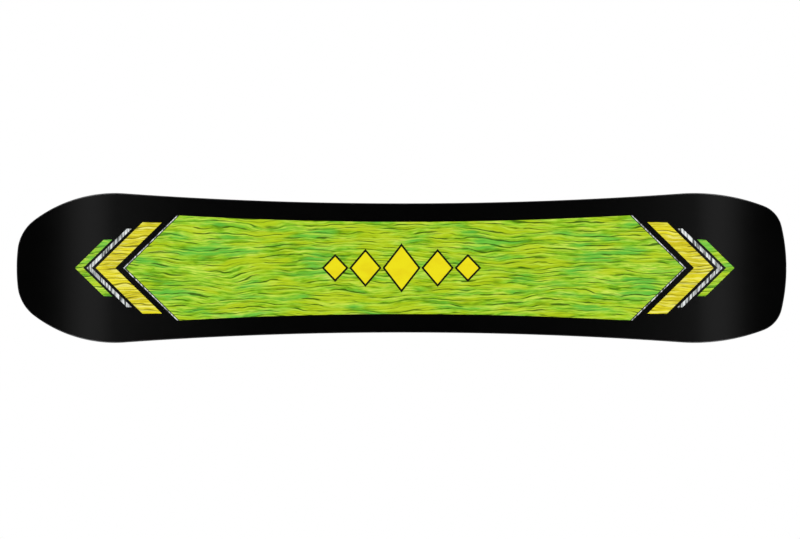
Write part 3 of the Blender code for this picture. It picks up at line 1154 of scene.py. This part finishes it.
LIME_TONES = (
    (0.00, paint(92, 140, 0)),
    (0.20, paint(114, 170, 6)),
    (0.42, paint(138, 194, 30)),
    (0.62, paint(154, 206, 46)),
    (0.82, paint(178, 216, 62)),
    (1.00, paint(208, 232, 90)),
)
YELLOW_TONES = (
    (0.00, paint(172, 160, 14)),
    (0.30, paint(206, 195, 24)),
    (0.60, paint(223, 214, 42)),
    (0.85, paint(234, 227, 82)),
    (1.00, paint(242, 237, 130)),
)
LIME_INK = BrushedInk(
    "lime_brushed_ink", LIME_TONES, slot="inlay_lime", shadow=paint(52, 88, 0),
    gleam=paint(194, 226, 72), cool=paint(90, 188, 62), warm=paint(182, 204, 18))
YELLOW_INK = BrushedInk(
    "yellow_brushed_ink", YELLOW_TONES, slot="inlay_yellow", shadow=paint(62, 58, 6),
    gleam=paint(242, 238, 132), cool=paint(208, 194, 20), warm=paint(234, 222, 26), depth=0.75)

# Opaque ink of the lozenges, laid on evenly, with faint clouds and fine pores.
FLAT_YELLOW = Surface(
    "yellow_flat_ink", slot="inlay_yellow",
    first=paint(235, 223, 20), second=paint(230, 212, 18),
    tone=(0.40, 0.72), roughness=(0.34, 0.44), bump=0.15,
    layers=(Grain((22, 40, 1), tone=1, rough=0.5, detail=3),
            Grain((900, 900, 1), rough=0.5, height=1)))

# Silver line work, brushed across the board.
SILVER_INK = Surface(
    "silver_ink", slot="inlay_yellow",
    first=paint(236, 240, 239), second=paint(66, 70, 68),
    tone=(0.34, 0.64), roughness=(0.32, 0.44), relief=0.00003, bump=0.15,
    layers=(Grain((260, 24, 1), tone=1, rough=1, height=1, detail=3),))

# Black line work around the lozenges, printed a little thin in places.
BLACK_INK = Surface(
    "black_ink", slot="base_black",
    first=paint(14, 16, 10), second=paint(46, 52, 18),
    tone=(0.58, 0.72), roughness=(0.36, 0.44), relief=0.00001,
    layers=(Grain((120, 260, 1), tone=1, rough=1, height=1, detail=3),))

# Black sintered polyethylene: clouds, the lengthwise stone grind and a few long scratches.
SINTERED_BASE = Surface(
    "sintered_base", slot="base_black",
    first=(0.0002, 0.0002, 0.0002), second=(0.0008, 0.0008, 0.0008),
    tone=(0.35, 0.70), roughness=(0.31, 0.37), bump=0.25,
    layers=(Grain((3, 9, 1), tone=0.6, rough=0.3, detail=3),
            Grain((35, 1700, 1), tone=0.4, rough=0.7, height=1),
            Grain((5, 420, 0), rough=0.8, height=-0.4, seed=3, detail=1, ease=(0.70, 0.76))))

# Edge steel, ground along the rim, with dull spots.
EDGE_STEEL = Surface(
    "edge_steel_ground", slot="edge_steel",
    first=(0.46, 0.46, 0.47), second=(0.28, 0.28, 0.28),
    tone=(0.56, 0.72), roughness=(0.26, 0.50), bump=0.25, metallic=1.0,
    layers=(Grain((45, 2600, 300), rough=0.6, height=1, along_rim=True),
            Grain((130, 130, 500), tone=1, rough=0.4, detail=3)))

# Dull black damping foil, seen as a line over the steel.
FOIL_RUBBER = Surface(
    "foil_rubber", slot="edge_rubber",
    first=(0.010, 0.010, 0.010), second=(0.022, 0.022, 0.022),
    tone=(0.40, 0.70), roughness=(0.70, 0.85), relief=0.00003, bump=0.3,
    layers=(Grain((900, 900, 900), tone=1, rough=1, height=1),))

# Cut edge of a glass laminate: pale fibre ends and bundles in clear resin.
GLASS_LAMINATE = Surface(
    "glass_laminate_edge", slot="glass_laminate",
    first=(0.10, 0.105, 0.075), second=(0.42, 0.44, 0.36),
    tone=(0.40, 0.62), roughness=(0.30, 0.48), coat=0.35,
    layers=(Grain((900, 2200, 20), tone=0.5, rough=0.5, height=0.5, along_rim=True),
            Grain((160, 600, 3), tone=0.5, rough=0.5, height=0.5, along_rim=True)))

# Black sidewall plastic, milled along the rim, over broad clouds.
SIDEWALL_ABS = Surface(
    "sidewall_abs_milled", slot="sidewall_abs",
    first=(0.008, 0.008, 0.009), second=(0.020, 0.020, 0.022),
    tone=(0.38, 0.68), roughness=(0.36, 0.56), relief=0.00004, bump=0.3,
    layers=(Grain((28, 2400, 30), tone=0.6, rough=1, height=1, along_rim=True),
            Grain((8, 8, 40), tone=0.4)))

# Satin black film: broad clouds, pores, a few hair scratches and the weave below it.
TOPSHEET_FILM = Surface(
    "topsheet_film", slot="topsheet_black",
    first=(0.006, 0.006, 0.007), second=(0.013, 0.013, 0.014),
    tone=(0.35, 0.75), roughness=(0.34, 0.50), relief=0.00004, bump=0.22, gloss=0.35,
    layers=(Grain((5, 9, 1), tone=0.7, rough=0.6, detail=3),
            Grain((1400, 1400, 1400), rough=0.4, height=0.35),
            Grain((60, 480, 0), rough=0.5, height=-0.4, seed=4, detail=1, ease=(0.72, 0.78)),
            Weave(0.0016, tone=0.3, height=0.5)))

# Turned stainless steel of the threaded inserts, with turning marks and stains.
INSERT_STEEL = Surface(
    "insert_steel_turned", slot="insert_steel",
    first=(0.58, 0.58, 0.57), second=(0.36, 0.35, 0.34),
    tone=(0.45, 0.70), roughness=(0.20, 0.44), metallic=1.0,
    layers=(Grain((900, 900, 3000), rough=0.5, height=1),
            Grain((160, 160, 300), tone=1, rough=0.5)))

# The two woods of the core, planed, with fine fibres and year rings.
WOOD_FIBRE = Grain((40, 900, 900), tone=0.3, rough=1, height=0.3)
POPLAR = Surface(
    "poplar_planed", first=(0.70, 0.56, 0.36), second=(0.55, 0.40, 0.22), tone=(0.0, 1.0),
    roughness=(0.50, 0.68), relief=0.0001, bump=0.3,
    layers=(WOOD_FIBRE, YearRings(0.006, tone=0.7, height=0.7)))
BEECH = replace(
    POPLAR, name="beech_planed", first=(0.52, 0.33, 0.18), second=(0.38, 0.22, 0.11),
    layers=(WOOD_FIBRE, YearRings(0.004, tone=0.7, height=0.7)))


# Pieces of the board


@dataclass(frozen=True)
class Lozenge:
    """Diamond on the centre line."""

    x: float
    half_length: float
    half_width: float

    def outline(self, grow: float = 0.0) -> Contour:
        """Draw the diamond.

        Args:
            grow: How far its sides are moved out.

        Returns:
            The diamond's outline.
        """
        pen = Pen(Vector((self.x + self.half_length, 0)))
        pen.line(Vector((self.x, self.half_width)))
        pen.line(Vector((self.x - self.half_length, 0)))
        return pen.mirrored().moved_in(-grow)


@dataclass(frozen=True)
class BentBar:
    """Inlay ahead of the panel's point, bent parallel to the panel's end."""

    name: str
    gap: float
    width: float
    arm: float
    finish: Finish
    stands_for: tuple[str, ...] = ()

    def outline(self, tip: Tip, shoulder: Vector, point: Vector) -> Contour:
        """Draw the bar.

        Args:
            tip: Which end of the board.
            shoulder: Shoulder of the panel's end, on the left side.
            point: Point of the panel's end.

        Returns:
            The bar's outline.
        """
        back = point - shoulder
        lean = back.length / shoulder.y
        near = point.x + tip.value * self.gap * lean
        far = near + tip.value * self.width * lean
        fall = back.x / shoulder.y * self.arm
        pen = Pen(Vector((far, 0)))
        pen.line(Vector((far - fall, self.arm)))
        pen.line(Vector((near - fall, self.arm)))
        pen.line(Vector((near, 0)))
        return pen.mirrored()


@dataclass(frozen=True)
class RunningBase:
    """Black base sheet with its die-cut inlays, all flush with the steel edges.

    The panel's points stop panel_short before the widest lines. The silver bars and lime
    echoes reach out from the centre line by shares of the chevrons' reach.
    """

    shape: BoardShape
    edge_width: float = 0.002
    panel_margin: float = 0.038
    panel_short: float = 0.022
    point_length: float = 0.110
    keyline_gap: float = 0.0015
    keyline_width: float = 0.002
    chevron_gap: float = 0.015
    chevron_width: float = 0.028
    bar_gap: float = 0.006
    bar_width: float = 0.007
    bar_reach: float = 0.86
    echo_gap: float = 0.005
    echo_width: float = 0.012
    echo_reach: float = 0.62
    lozenges: tuple[Lozenge, ...] = (
        Lozenge(0.0, 0.034, 0.044),
        *(Lozenge(tip.value * x, length, width) for tip in Tip
          for x, length, width in ((0.074, 0.028, 0.033), (0.136, 0.022, 0.023))),
    )
    frame_width: float = 0.004

    @property
    def top(self) -> float:
        """Height at which the base meets the laminate, halfway up the glue line."""
        return self.shape.stack.base + self.shape.stack.glue / 2

    def panel_end(self, tip: Tip) -> tuple[Vector, Vector]:
        """Shoulder and point of the panel's end, on the left side.

        Args:
            tip: Which end of the board.

        Returns:
            The shoulder and the point in plan.
        """
        point = self.shape.widest(tip) - tip.value * self.panel_short
        shoulder = point - tip.value * self.point_length
        return self.shape.side_at(shoulder, self.panel_margin), Vector((point, 0))

    def panel(self) -> Contour:
        """Long panel that follows the sidecut and ends in a point at each tip.

        Returns:
            The panel's outline.
        """
        nose_shoulder, nose_point = self.panel_end(Tip.NOSE)
        tail_shoulder, tail_point = self.panel_end(Tip.TAIL)
        centre = self.shape.sidecut[0]
        pen = Pen(nose_point)
        pen.line(nose_shoulder)
        pen.turn(centre, tail_shoulder - centre, self.shape.body_step)
        pen.line(tail_point)
        return pen.mirrored()

    def bars(self, tip: Tip) -> list[BentBar]:
        """Bent bars at one end: a yellow chevron, two silver lines and a lime echo.

        Args:
            tip: Which end of the board.

        Returns:
            The bars, in the order in which they are made.
        """
        end = tip.name.lower()
        panel_arm = self.panel_end(tip)[0].y
        arm = panel_arm - self.chevron_width / 2
        bar_gap = self.chevron_gap + self.chevron_width + self.bar_gap
        echo_gap = bar_gap + self.bar_width + self.echo_gap
        return [
            BentBar(f"inlay_{end}_chevron", self.chevron_gap, self.chevron_width, arm,
                    YELLOW_INK, (f"base_inlay_{end}_chevron",)),
            BentBar(f"inlay_{end}_keyline", self.keyline_gap, self.keyline_width, panel_arm,
                    SILVER_INK),
            BentBar(f"inlay_{end}_bar", bar_gap, self.bar_width, arm * self.bar_reach, SILVER_INK),
            BentBar(f"inlay_{end}_echo", echo_gap, self.echo_width, arm * self.echo_reach,
                    LIME_INK),
        ]

    def slab(self, contour: Contour, inset: float = 0.0) -> BMesh:
        """Flat block of the base's thickness over a contour."""
        return contour.raised([(inset, 0.0), (inset, self.top)])

    def opened(self, bm: BMesh, contours: Iterable[Contour]) -> BMesh:
        """A creased sheet with windows cut through it."""
        rings = [(0.0, -self.top), (0.0, 2 * self.top)]
        return pierced(bm, joined(contour.raised(rings) for contour in contours))

    def rim(self, lozenge: Lozenge) -> BMesh:
        """Frame around a lozenge.

        Args:
            lozenge: The lozenge.

        Returns:
            The frame, lying flat.
        """
        inner, outer, height = 0.0, -self.frame_width, self.shape.stack.base
        rings = [(inner, 0.0), (outer, 0.0), (outer, height), (inner, height)]
        return lozenge.outline().raised(rings, hollow=True)

    def build(self) -> None:
        """Make the base sheet and every inlay."""
        shape, panel = self.shape, self.panel()
        windows = [panel]
        for tip in Tip:
            for bar in self.bars(tip):
                windows.append(bar.outline(tip, *self.panel_end(tip)))
                add_piece(bar.name, shape.formed(self.slab(windows[-1])), bar.finish,
                          *bar.stands_for)
        sheet = self.opened(shape.crease(self.slab(shape.outline(), self.edge_width)), windows)
        add_piece("running_base", shape.press(sheet), SINTERED_BASE, "base_sheet")
        frames = [lozenge.outline(self.frame_width) for lozenge in self.lozenges]
        ground = self.opened(shape.crease(self.slab(panel)), frames)
        add_piece("inlay_panel", shape.press(ground), LIME_INK, "base_inlay_panel")
        rims = joined(self.rim(lozenge) for lozenge in self.lozenges)
        add_piece("inlay_lozenge_frames", shape.formed(rims), BLACK_INK)
        hearts = joined(self.slab(lozenge.outline()) for lozenge in self.lozenges)
        add_piece("inlay_lozenges", shape.formed(hearts), FLAT_YELLOW)


@dataclass(frozen=True)
class SteelEdges:
    """Steel edges with their punched flange, and the rubber foil that lies on it.

    The flange is whole for flange_root inside the edge, and punched beyond it.
    """

    shape: BoardShape
    width: float = 0.002
    flange_root: float = 0.0012
    slot_pitch: float = 0.048
    slot_width: float = 0.010
    break_edge: float = 0.00015
    joint_gap: float = 0.0003

    def half(self, bm: BMesh, side: Side) -> BMesh:
        """The left or right half of a rim, cut short of the centre line."""
        place = Vector((0, side.value * self.joint_gap / 2, 0))
        return trimmed(bm.copy(), place, Vector((0, -side.value, 0)))

    def steel(self) -> BMesh:
        """Whole rim of steel with its flange teeth.

        Returns:
            The rim as one mesh, lying flat.
        """
        stack, outline = self.shape.stack, self.shape.outline()
        root = self.width + self.flange_root
        bottom = stack.base + stack.glue
        profile = [(self.break_edge, 0), (0, self.break_edge), (0, stack.edge_top),
                   (root, stack.edge_top), (root, bottom), (self.width, bottom), (self.width, 0)]
        bm = outline.raised(profile, hollow=True)
        ring_of = bm.verts.layers.int["ring"]
        along = bm.verts.layers.float["along"]
        inward = bm.verts.layers.float_vector["inward"]
        inner_face = {index for index, ring in enumerate(profile) if ring[0] == root}
        pitch = outline.length / round(outline.length / self.slot_pitch)
        teeth = []
        for face in bm.faces:
            if {vert[ring_of] for vert in face.verts} != inner_face:
                continue
            place = sum(vert[along] for vert in face.verts) / len(face.verts)
            if abs((place / pitch) % 1 - 0.5) * pitch > self.slot_width / 2:
                teeth.append(face)
        made = bmesh.ops.extrude_face_region(bm, geom=teeth)["geom"]
        for vert in (part for part in made if isinstance(part, BMVert)):
            vert.co += vert[inward] * (stack.flange_reach - root)
        bmesh.ops.delete(bm, geom=[face for face in teeth if face.is_valid], context="FACES")
        bmesh.ops.recalc_face_normals(bm, faces=bm.faces)
        return bm

    def foil(self) -> BMesh:
        """Whole rim of rubber foil.

        Returns:
            The rim as one mesh, lying flat.
        """
        stack = self.shape.stack
        low, high = stack.edge_top, stack.glass_rim - stack.glue / 2
        reach = stack.flange_reach + stack.rubber_overhang
        rings = [(stack.side_inset(low), low), (stack.side_inset(high), high),
                 (reach, high), (reach, low)]
        return self.shape.outline().raised(rings, hollow=True)

    def build(self) -> None:
        """Make both edges and both foils."""
        steel, foil = self.steel(), self.foil()
        for side in Side:
            name = side.name.lower()
            add_piece(f"steel_edge_{name}", self.shape.press(self.half(steel, side)),
                      EDGE_STEEL, f"edge_{name}")
            add_piece(f"rubber_foil_{name}", self.shape.press(self.half(foil, side)),
                      FOIL_RUBBER, f"edge_rubber_{name}")
        steel.free()
        foil.free()


@dataclass(frozen=True)
class Inserts:
    """Threaded inserts in two rows under each foot.

    Barrel, flange, screw and hole are radii, and thread_flat is half of a crest's width as
    a share of the thread's pitch.
    """

    shape: BoardShape
    pitch: float = 0.020
    row_spacing: float = 0.040
    per_row: int = 5
    barrel: float = 0.0045
    flange: float = 0.008
    flange_height: float = 0.001
    screw: float = 0.003
    screw_depth: float = 0.0062
    sunk: float = 0.0002
    thread_pitch: float = 0.001
    thread_depth: float = 0.00054
    thread_flat: float = 0.06
    chamfer: float = 0.0004
    hole: float = 0.0048
    steps: int = 32

    def places(self) -> dict[str, Vector]:
        """Lay out both rows under each foot.

        Returns:
            Place of every insert in plan, by its node's name.
        """
        places = {}
        for foot, middle in self.shape.feet.items():
            for side in Side:
                for i in range(self.per_row):
                    x = middle + (i - (self.per_row - 1) / 2) * self.pitch
                    name = f"insert_{foot}_{side.name.lower()}_{i + 1}"
                    places[name] = Vector((x, side.value * self.row_spacing / 2))
        return places

    def turned(self, profile: Sequence[Ring]) -> BMesh:
        """Spin a half section around the Z axis.

        Args:
            profile: Radius and height of each point, in order.

        Returns:
            The closed solid.
        """
        bm = bmesh.new()
        here = bm.verts.new((profile[0][0], 0, profile[0][1]))
        for radius, height in profile[1:]:
            here = bmesh.ops.extrude_vert_indiv(bm, verts=[here])["verts"][0]
            here.co = (radius, 0, height)
        bmesh.ops.spin(bm, geom=bm.verts[:] + bm.edges[:], cent=(0, 0, 0), axis=(0, 0, 1),
                       angle=2 * math.pi, steps=self.steps, use_merge=True)
        bmesh.ops.remove_doubles(bm, verts=bm.verts, dist=WELD)
        bmesh.ops.recalc_face_normals(bm, faces=bm.faces)
        return bm

    def profile(self) -> list[Ring]:
        """Half section of an insert, which stands on the wood's underside.

        Returns:
            Radius and height of each point, in order.
        """
        top = self.shape.stack.top - self.sunk - self.shape.stack.core_floor
        points = [(0, 0), (self.flange, 0), (self.flange, self.flange_height),
                  (self.barrel, self.flange_height), (self.barrel, top - self.chamfer / 2),
                  (self.barrel - self.chamfer / 2, top), (self.screw + self.chamfer, top)]
        crest, pitch, flat = self.screw - self.thread_depth, self.thread_pitch, self.thread_flat
        thread = ((crest, flat), (self.screw, 0.5 - flat), (self.screw, 0.5 + flat),
                  (crest, 1 - flat))
        height, floor = top - self.chamfer, top - self.screw_depth
        while height - pitch > floor + pitch / 2:
            points += [(radius, height - pitch * share) for radius, share in thread]
            height -= pitch
        return points + [(crest, floor), (0, floor)]

    def plugs(self, chamfer: float = 0.0) -> BMesh:
        """Cutter that opens a sheet of the flat stack around every barrel.

        Args:
            chamfer: Width of the break around the top of each hole.

        Returns:
            The cutter as one mesh.
        """
        top = self.shape.stack.top
        profile = [(0, 0), (self.hole, 0), (self.hole, top - chamfer),
                   (self.hole + 2 * chamfer, top + chamfer), (0, top + chamfer)]
        plug = self.turned(profile)
        plugs = []
        for place in self.places().values():
            moved = plug.copy()
            bmesh.ops.translate(moved, verts=moved.verts, vec=place.to_3d())
            plugs.append(moved)
        plug.free()
        return joined(plugs)

    def build(self) -> None:
        """Make every insert."""
        model = self.turned(self.profile())
        for name, place in self.places().items():
            bm = model.copy()
            foot = self.shape.pressed(Vector((place.x, place.y, self.shape.stack.core_floor)))
            tilt = math.atan(self.shape.rocker(place.x).y)
            turn = Matrix.Translation(foot) @ Matrix.Rotation(-tilt, 4, "Y")
            bmesh.ops.transform(bm, matrix=turn, verts=bm.verts)
            add_piece(f"threaded_{name}", bm, INSERT_STEEL, name)
        model.free()


@dataclass(frozen=True)
class Laminates:
    """Glass laminates below and above the wood."""

    shape: BoardShape
    inserts: Inserts

    def lower(self) -> BMesh:
        """Lower laminate, which steps down from the edge's flange onto the base sheet.

        Returns:
            The laminate, lying flat.
        """
        stack = self.shape.stack
        half = stack.glue / 2
        under, over = stack.step_insets(0), stack.step_insets(stack.glass)
        rim, floor = stack.glass_rim - half, stack.glass_floor - half
        top = rim + stack.glass + stack.glue
        rings = [(under[1], floor), (under[0], rim), (stack.side_inset(rim), rim),
                 (stack.side_inset(top), top), (over[0], top),
                 (over[1], floor + stack.glass + stack.glue)]
        return self.shape.outline().raised(rings)

    def upper(self) -> BMesh:
        """Upper laminate, pierced by the insert barrels.

        Returns:
            The laminate, lying flat.
        """
        stack = self.shape.stack
        low = stack.upper_glass - stack.glue / 2
        high = stack.topsheet_bottom - stack.glue / 2
        sheet = self.shape.outline().raised([(stack.side_inset(low), low),
                                             (stack.side_inset(high), high)])
        return pierced(self.shape.crease(sheet), self.inserts.plugs())

    def build(self) -> None:
        """Make both laminates."""
        lower, upper = self.shape.formed(self.lower()), self.shape.press(self.upper())
        add_piece("glass_lower", lower, GLASS_LAMINATE, "lower_laminate")
        add_piece("glass_upper", upper, GLASS_LAMINATE, "upper_laminate")


@dataclass(frozen=True)
class Walls:
    """Sidewalls along the wood, and the spacers that fill the tips."""

    shape: BoardShape
    joint_gap: float = 0.00015

    def face(self) -> list[Ring]:
        """Outer face of the sidewall, from the step at the flange to the top.

        Returns:
            Inset and height of each of its rings.
        """
        stack = self.shape.stack
        half = stack.glue / 2
        step = stack.step_insets(stack.glass + stack.glue)
        low, high = stack.core_rim - half, stack.core_top + half
        middle = (low + high) / 2
        return [(step[1], stack.core_floor - half), (step[0], low), (stack.side_inset(low), low),
                (stack.side_inset(middle), middle), (stack.side_inset(high), high)]

    def build(self) -> None:
        """Make both sidewalls and both spacers."""
        shape, stack = self.shape, self.shape.stack
        outline, half = shape.outline(), stack.glue / 2
        inner = [(stack.wall_inset, stack.core_top + half),
                 (stack.wall_inset, stack.core_floor - half)]
        for side in Side:
            bm = outline.raised(self.face() + inner, hollow=True)
            bm = trimmed(bm, Vector(), Vector((0, -side.value, 0)))
            for tip in Tip:
                bm = trimmed(bm, Vector((shape.joint(tip), 0, 0)), Vector((tip.value, 0, 0)))
            name = side.name.lower()
            add_piece(f"abs_wall_{name}", shape.press(bm), SIDEWALL_ABS, f"sidewall_{name}")
        for tip in Tip:
            start = Vector((shape.joint(tip) + tip.value * self.joint_gap, 0, 0))
            bm = trimmed(outline.raised(self.face()), start, Vector((-tip.value, 0, 0)))
            name = tip.name.lower()
            add_piece(f"abs_spacer_{name}", shape.formed(bm), SIDEWALL_ABS, f"{name}_spacer")


@dataclass(frozen=True)
class Topsheet:
    """Satin topsheet with a rolled rim, pierced by the inserts.

    The roll's curve gives each point between its ends as shares of the roll, inward and down.
    A last ring, set in by hold, keeps the roll's shading off the broad face.
    """

    shape: BoardShape
    inserts: Inserts
    roll: float = 0.0003
    roll_curve: tuple[Pair, ...] = ((0.2, 0.42), (0.55, 0.12))
    hold: float = 0.0012
    chamfer: float = 0.00015

    def build(self) -> None:
        """Make the topsheet."""
        stack = self.shape.stack
        low, high = stack.topsheet_bottom - stack.glue / 2, stack.top
        edge = stack.side_inset(high - self.roll)
        rings = [
            (stack.side_inset(low), low),
            (edge, high - self.roll),
            *((edge + self.roll * inward, high - self.roll * down)
              for inward, down in self.roll_curve),
            (edge + self.roll, high),
            (edge + self.hold, high),
        ]
        sheet = self.shape.crease(self.shape.outline().raised(rings))
        sheet = pierced(sheet, self.inserts.plugs(self.chamfer))
        add_piece("satin_topsheet", self.shape.press(sheet), TOPSHEET_FILM, "topsheet")


@dataclass(frozen=True)
class Core:
    """Wood strips, which keep their solids and get a planed wood surface."""

    poplar: Finish = POPLAR
    beech: Finish = BEECH

    def dress(self, nodes: dict[str, bpy.types.Object]) -> None:
        """Give every strip its wood.

        Args:
            nodes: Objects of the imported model, by name.
        """
        finishes = {Wood.POPLAR: self.poplar, Wood.BEECH: self.beech}
        for name, node in nodes.items():
            for wood, finish in finishes.items():
                if name.startswith(wood.value + "_"):
                    node.material_slots[0].material = finish.material
                    LOG.info("%s: dressed as %s", name, wood.name.lower())


# Studio


@dataclass(frozen=True)
class StudioFloor(Finish):
    """Pale floor that is seen from above only, so that a camera below sees the board."""

    pale: Colour = (0.97, 0.97, 0.97)
    shade_of_pale: float = 0.99
    clouds: Grain = Grain((0.8, 0.8, 0.8), ease=(0.2, 0.8))
    roughness: float = 0.9

    def wire(self, bench: Bench) -> None:
        """Shade the floor's upper face, and leave its underside clear.

        Args:
            bench: Node tree of the material.
        """
        greyer = tuple(part * self.shade_of_pale for part in self.pale)
        colour = bench.mix(self.clouds.laid(bench), self.pale, greyer)
        inputs = {"Base Color": colour, "Roughness": self.roughness, "Specular IOR Level": 0.0}
        shader = bench.out("ShaderNodeBsdfPrincipled", inputs=inputs)
        clear = bench.out("ShaderNodeBsdfTransparent")
        behind = bench.out("ShaderNodeNewGeometry", place="Backfacing")
        bench.output(bench.out("ShaderNodeMixShader", inputs={0: behind, 1: shader, 2: clear}))


@dataclass(frozen=True)
class Lamp:
    """Lamp that the camera doesn't see.

    A lamp below the floor lights only what the camera sees first. The floor lets it through
    to the base and would otherwise glow with the base's colours.
    """

    name: str
    place: Triple
    aim: Triple = (0.0, 0.0, 0.0)
    radiance: float = 1.0
    size: Pair | None = None
    gleam_only: bool = False
    sun_spread: float = math.radians(40)

    def light(self) -> bpy.types.Light:
        """Make the light: a flat soft box, or a sun where there is no size.

        Returns:
            The light.
        """
        if self.size is None:
            light = bpy.data.lights.new(self.name, "SUN")
            light.angle = self.sun_spread
            light.energy = math.pi * self.radiance
            return light
        light = bpy.data.lights.new(self.name, "AREA")
        light.shape = "RECTANGLE"
        light.size, light.size_y = self.size
        light.energy = math.pi * self.radiance * self.size[0] * self.size[1]
        return light

    def hang(self) -> None:
        """Hang the lamp and turn it to its aim."""
        light, place = self.light(), Vector(self.place)
        if place.z < 0:
            light.cycles.max_bounces = 0
        holder = set_out(self.name, light)
        holder.location = place
        holder.rotation_euler = (Vector(self.aim) - place).to_track_quat("-Z", "Y").to_euler()
        holder.visible_camera = False
        holder.visible_diffuse = not self.gleam_only
        holder.visible_glossy = self.size is not None


@dataclass(frozen=True)
class Studio:
    """Floor, light and camera.

    Each light of the world rises or falls over a span of the upward part of its direction,
    from -1 straight down to 1 straight up. The frame's width is what the camera sees at
    the board's distance.
    """

    reach: float = 100.0
    drop: float = 0.0003
    ambient: float = 1.0
    ambient_rise: Span = (-0.1, 0.1)
    horizon: float = 0.42
    horizon_rise: Span = (-0.22, 0.02)
    horizon_fall: Span = (0.06, 0.40)
    haze: float = 0.08
    haze_rise: Span = (0.0, 0.1)
    zenith: float = 0.92
    zenith_rise: Span = (0.55, 0.98)
    distance: float = 30.0
    frame_width: float = 1.6392
    sensor: float = 36.0
    sight: float = 400.0
    aim: Pair = (0.0031, -0.0032)
    lamps: tuple[Lamp, ...] = (
        Lamp("even_below", place=(0.0, 0.0, -2.0)),
        *(Lamp(f"strip_{tip.name.lower()}", place=(tip.value * 0.95, 0.0, -1.2),
               aim=(tip.value * 0.65, 0.0, 0.01), size=(1.2, 0.5), radiance=0.57)
          for tip in Tip),
        Lamp("soft_top", place=(-1.5, -2.0, 3.6), size=(3.0, 3.0), radiance=0.3),
        Lamp("gleam_back", place=(-0.89, 0.64, 0.42), aim=(-0.25, 0.0, 0.0), size=(0.6, 0.4),
             gleam_only=True),
        Lamp("gleam_front", place=(0.88, -0.68, 0.26), aim=(0.20, 0.0, 0.0), size=(0.6, 0.4),
             radiance=0.4, gleam_only=True),
    )

    def lay_floor(self) -> None:
        """Lay the floor just under the board."""
        bm = bmesh.new()
        bmesh.ops.create_grid(bm, x_segments=1, y_segments=1, size=self.reach)
        bmesh.ops.translate(bm, verts=bm.verts, vec=(0, 0, -self.drop))
        floor = set_out("studio_floor", settled("studio_floor", bm))
        floor.data.materials.append(StudioFloor("studio_floor").material)
        floor.visible_shadow = floor.visible_diffuse = floor.visible_glossy = False

    def light_world(self) -> None:
        """White background, even light from above, and reflections of a studio."""
        world = bpy.data.worlds.new("studio_world")
        bpy.context.scene.world = world
        world.cycles.sampling_method = "NONE"
        bench = Bench(world)
        path = bench.node("ShaderNodeLightPath")
        camera, glossy, through = (Signal(bench, path.outputs[name]) for name in
                                   ("Is Camera Ray", "Is Glossy Ray", "Is Transmission Ray"))
        up = bench.parts(bench.out("ShaderNodeTexCoord", place="Generated"))[2]
        band = up.eased(*self.horizon_rise) * (1 - up.eased(*self.horizon_fall)) * self.horizon
        overhead = up.eased(*self.zenith_rise) * self.zenith
        sheen = band + up.eased(*self.haze_rise) * self.haze + overhead
        shiny = bench.math("MAXIMUM", glossy, through)
        even = up.eased(*self.ambient_rise) * self.ambient
        strength = camera + (1 - camera) * (shiny * sheen + (1 - shiny) * even)
        light = bench.out("ShaderNodeBackground",
                          inputs={"Color": (1, 1, 1, 1), "Strength": strength})
        bench.node("ShaderNodeOutputWorld", inputs={"Surface": light})

    def set_camera(self) -> None:
        """Look up at the running base from below, with the nose at the left."""
        lens = bpy.data.cameras.new("photo_camera")
        lens.sensor_width = self.sensor
        lens.lens = self.sensor * self.distance / self.frame_width
        lens.clip_end = self.sight
        camera = set_out("photo_camera", lens)
        camera.location = (*self.aim, -self.distance)
        camera.rotation_euler = (0, math.pi, 0)
        bpy.context.scene.camera = camera

    def build(self) -> None:
        """Set up the whole studio."""
        bpy.context.scene.view_settings.view_transform = "Standard"
        self.lay_floor()
        self.light_world()
        for lamp in self.lamps:
            lamp.hang()
        self.set_camera()


def main() -> None:
    """Build the board's pieces in order, then the studio."""
    logging.basicConfig(level=logging.INFO, format="%(name)s: %(message)s")
    shape = BoardShape()
    inserts = Inserts(shape)
    RunningBase(shape).build()
    SteelEdges(shape).build()
    Laminates(shape, inserts).build()
    Walls(shape).build()
    Topsheet(shape, inserts).build()
    inserts.build()
    Core().dress(frame["nodes"])
    Studio().build()


if __name__ == "__main__":
    main()
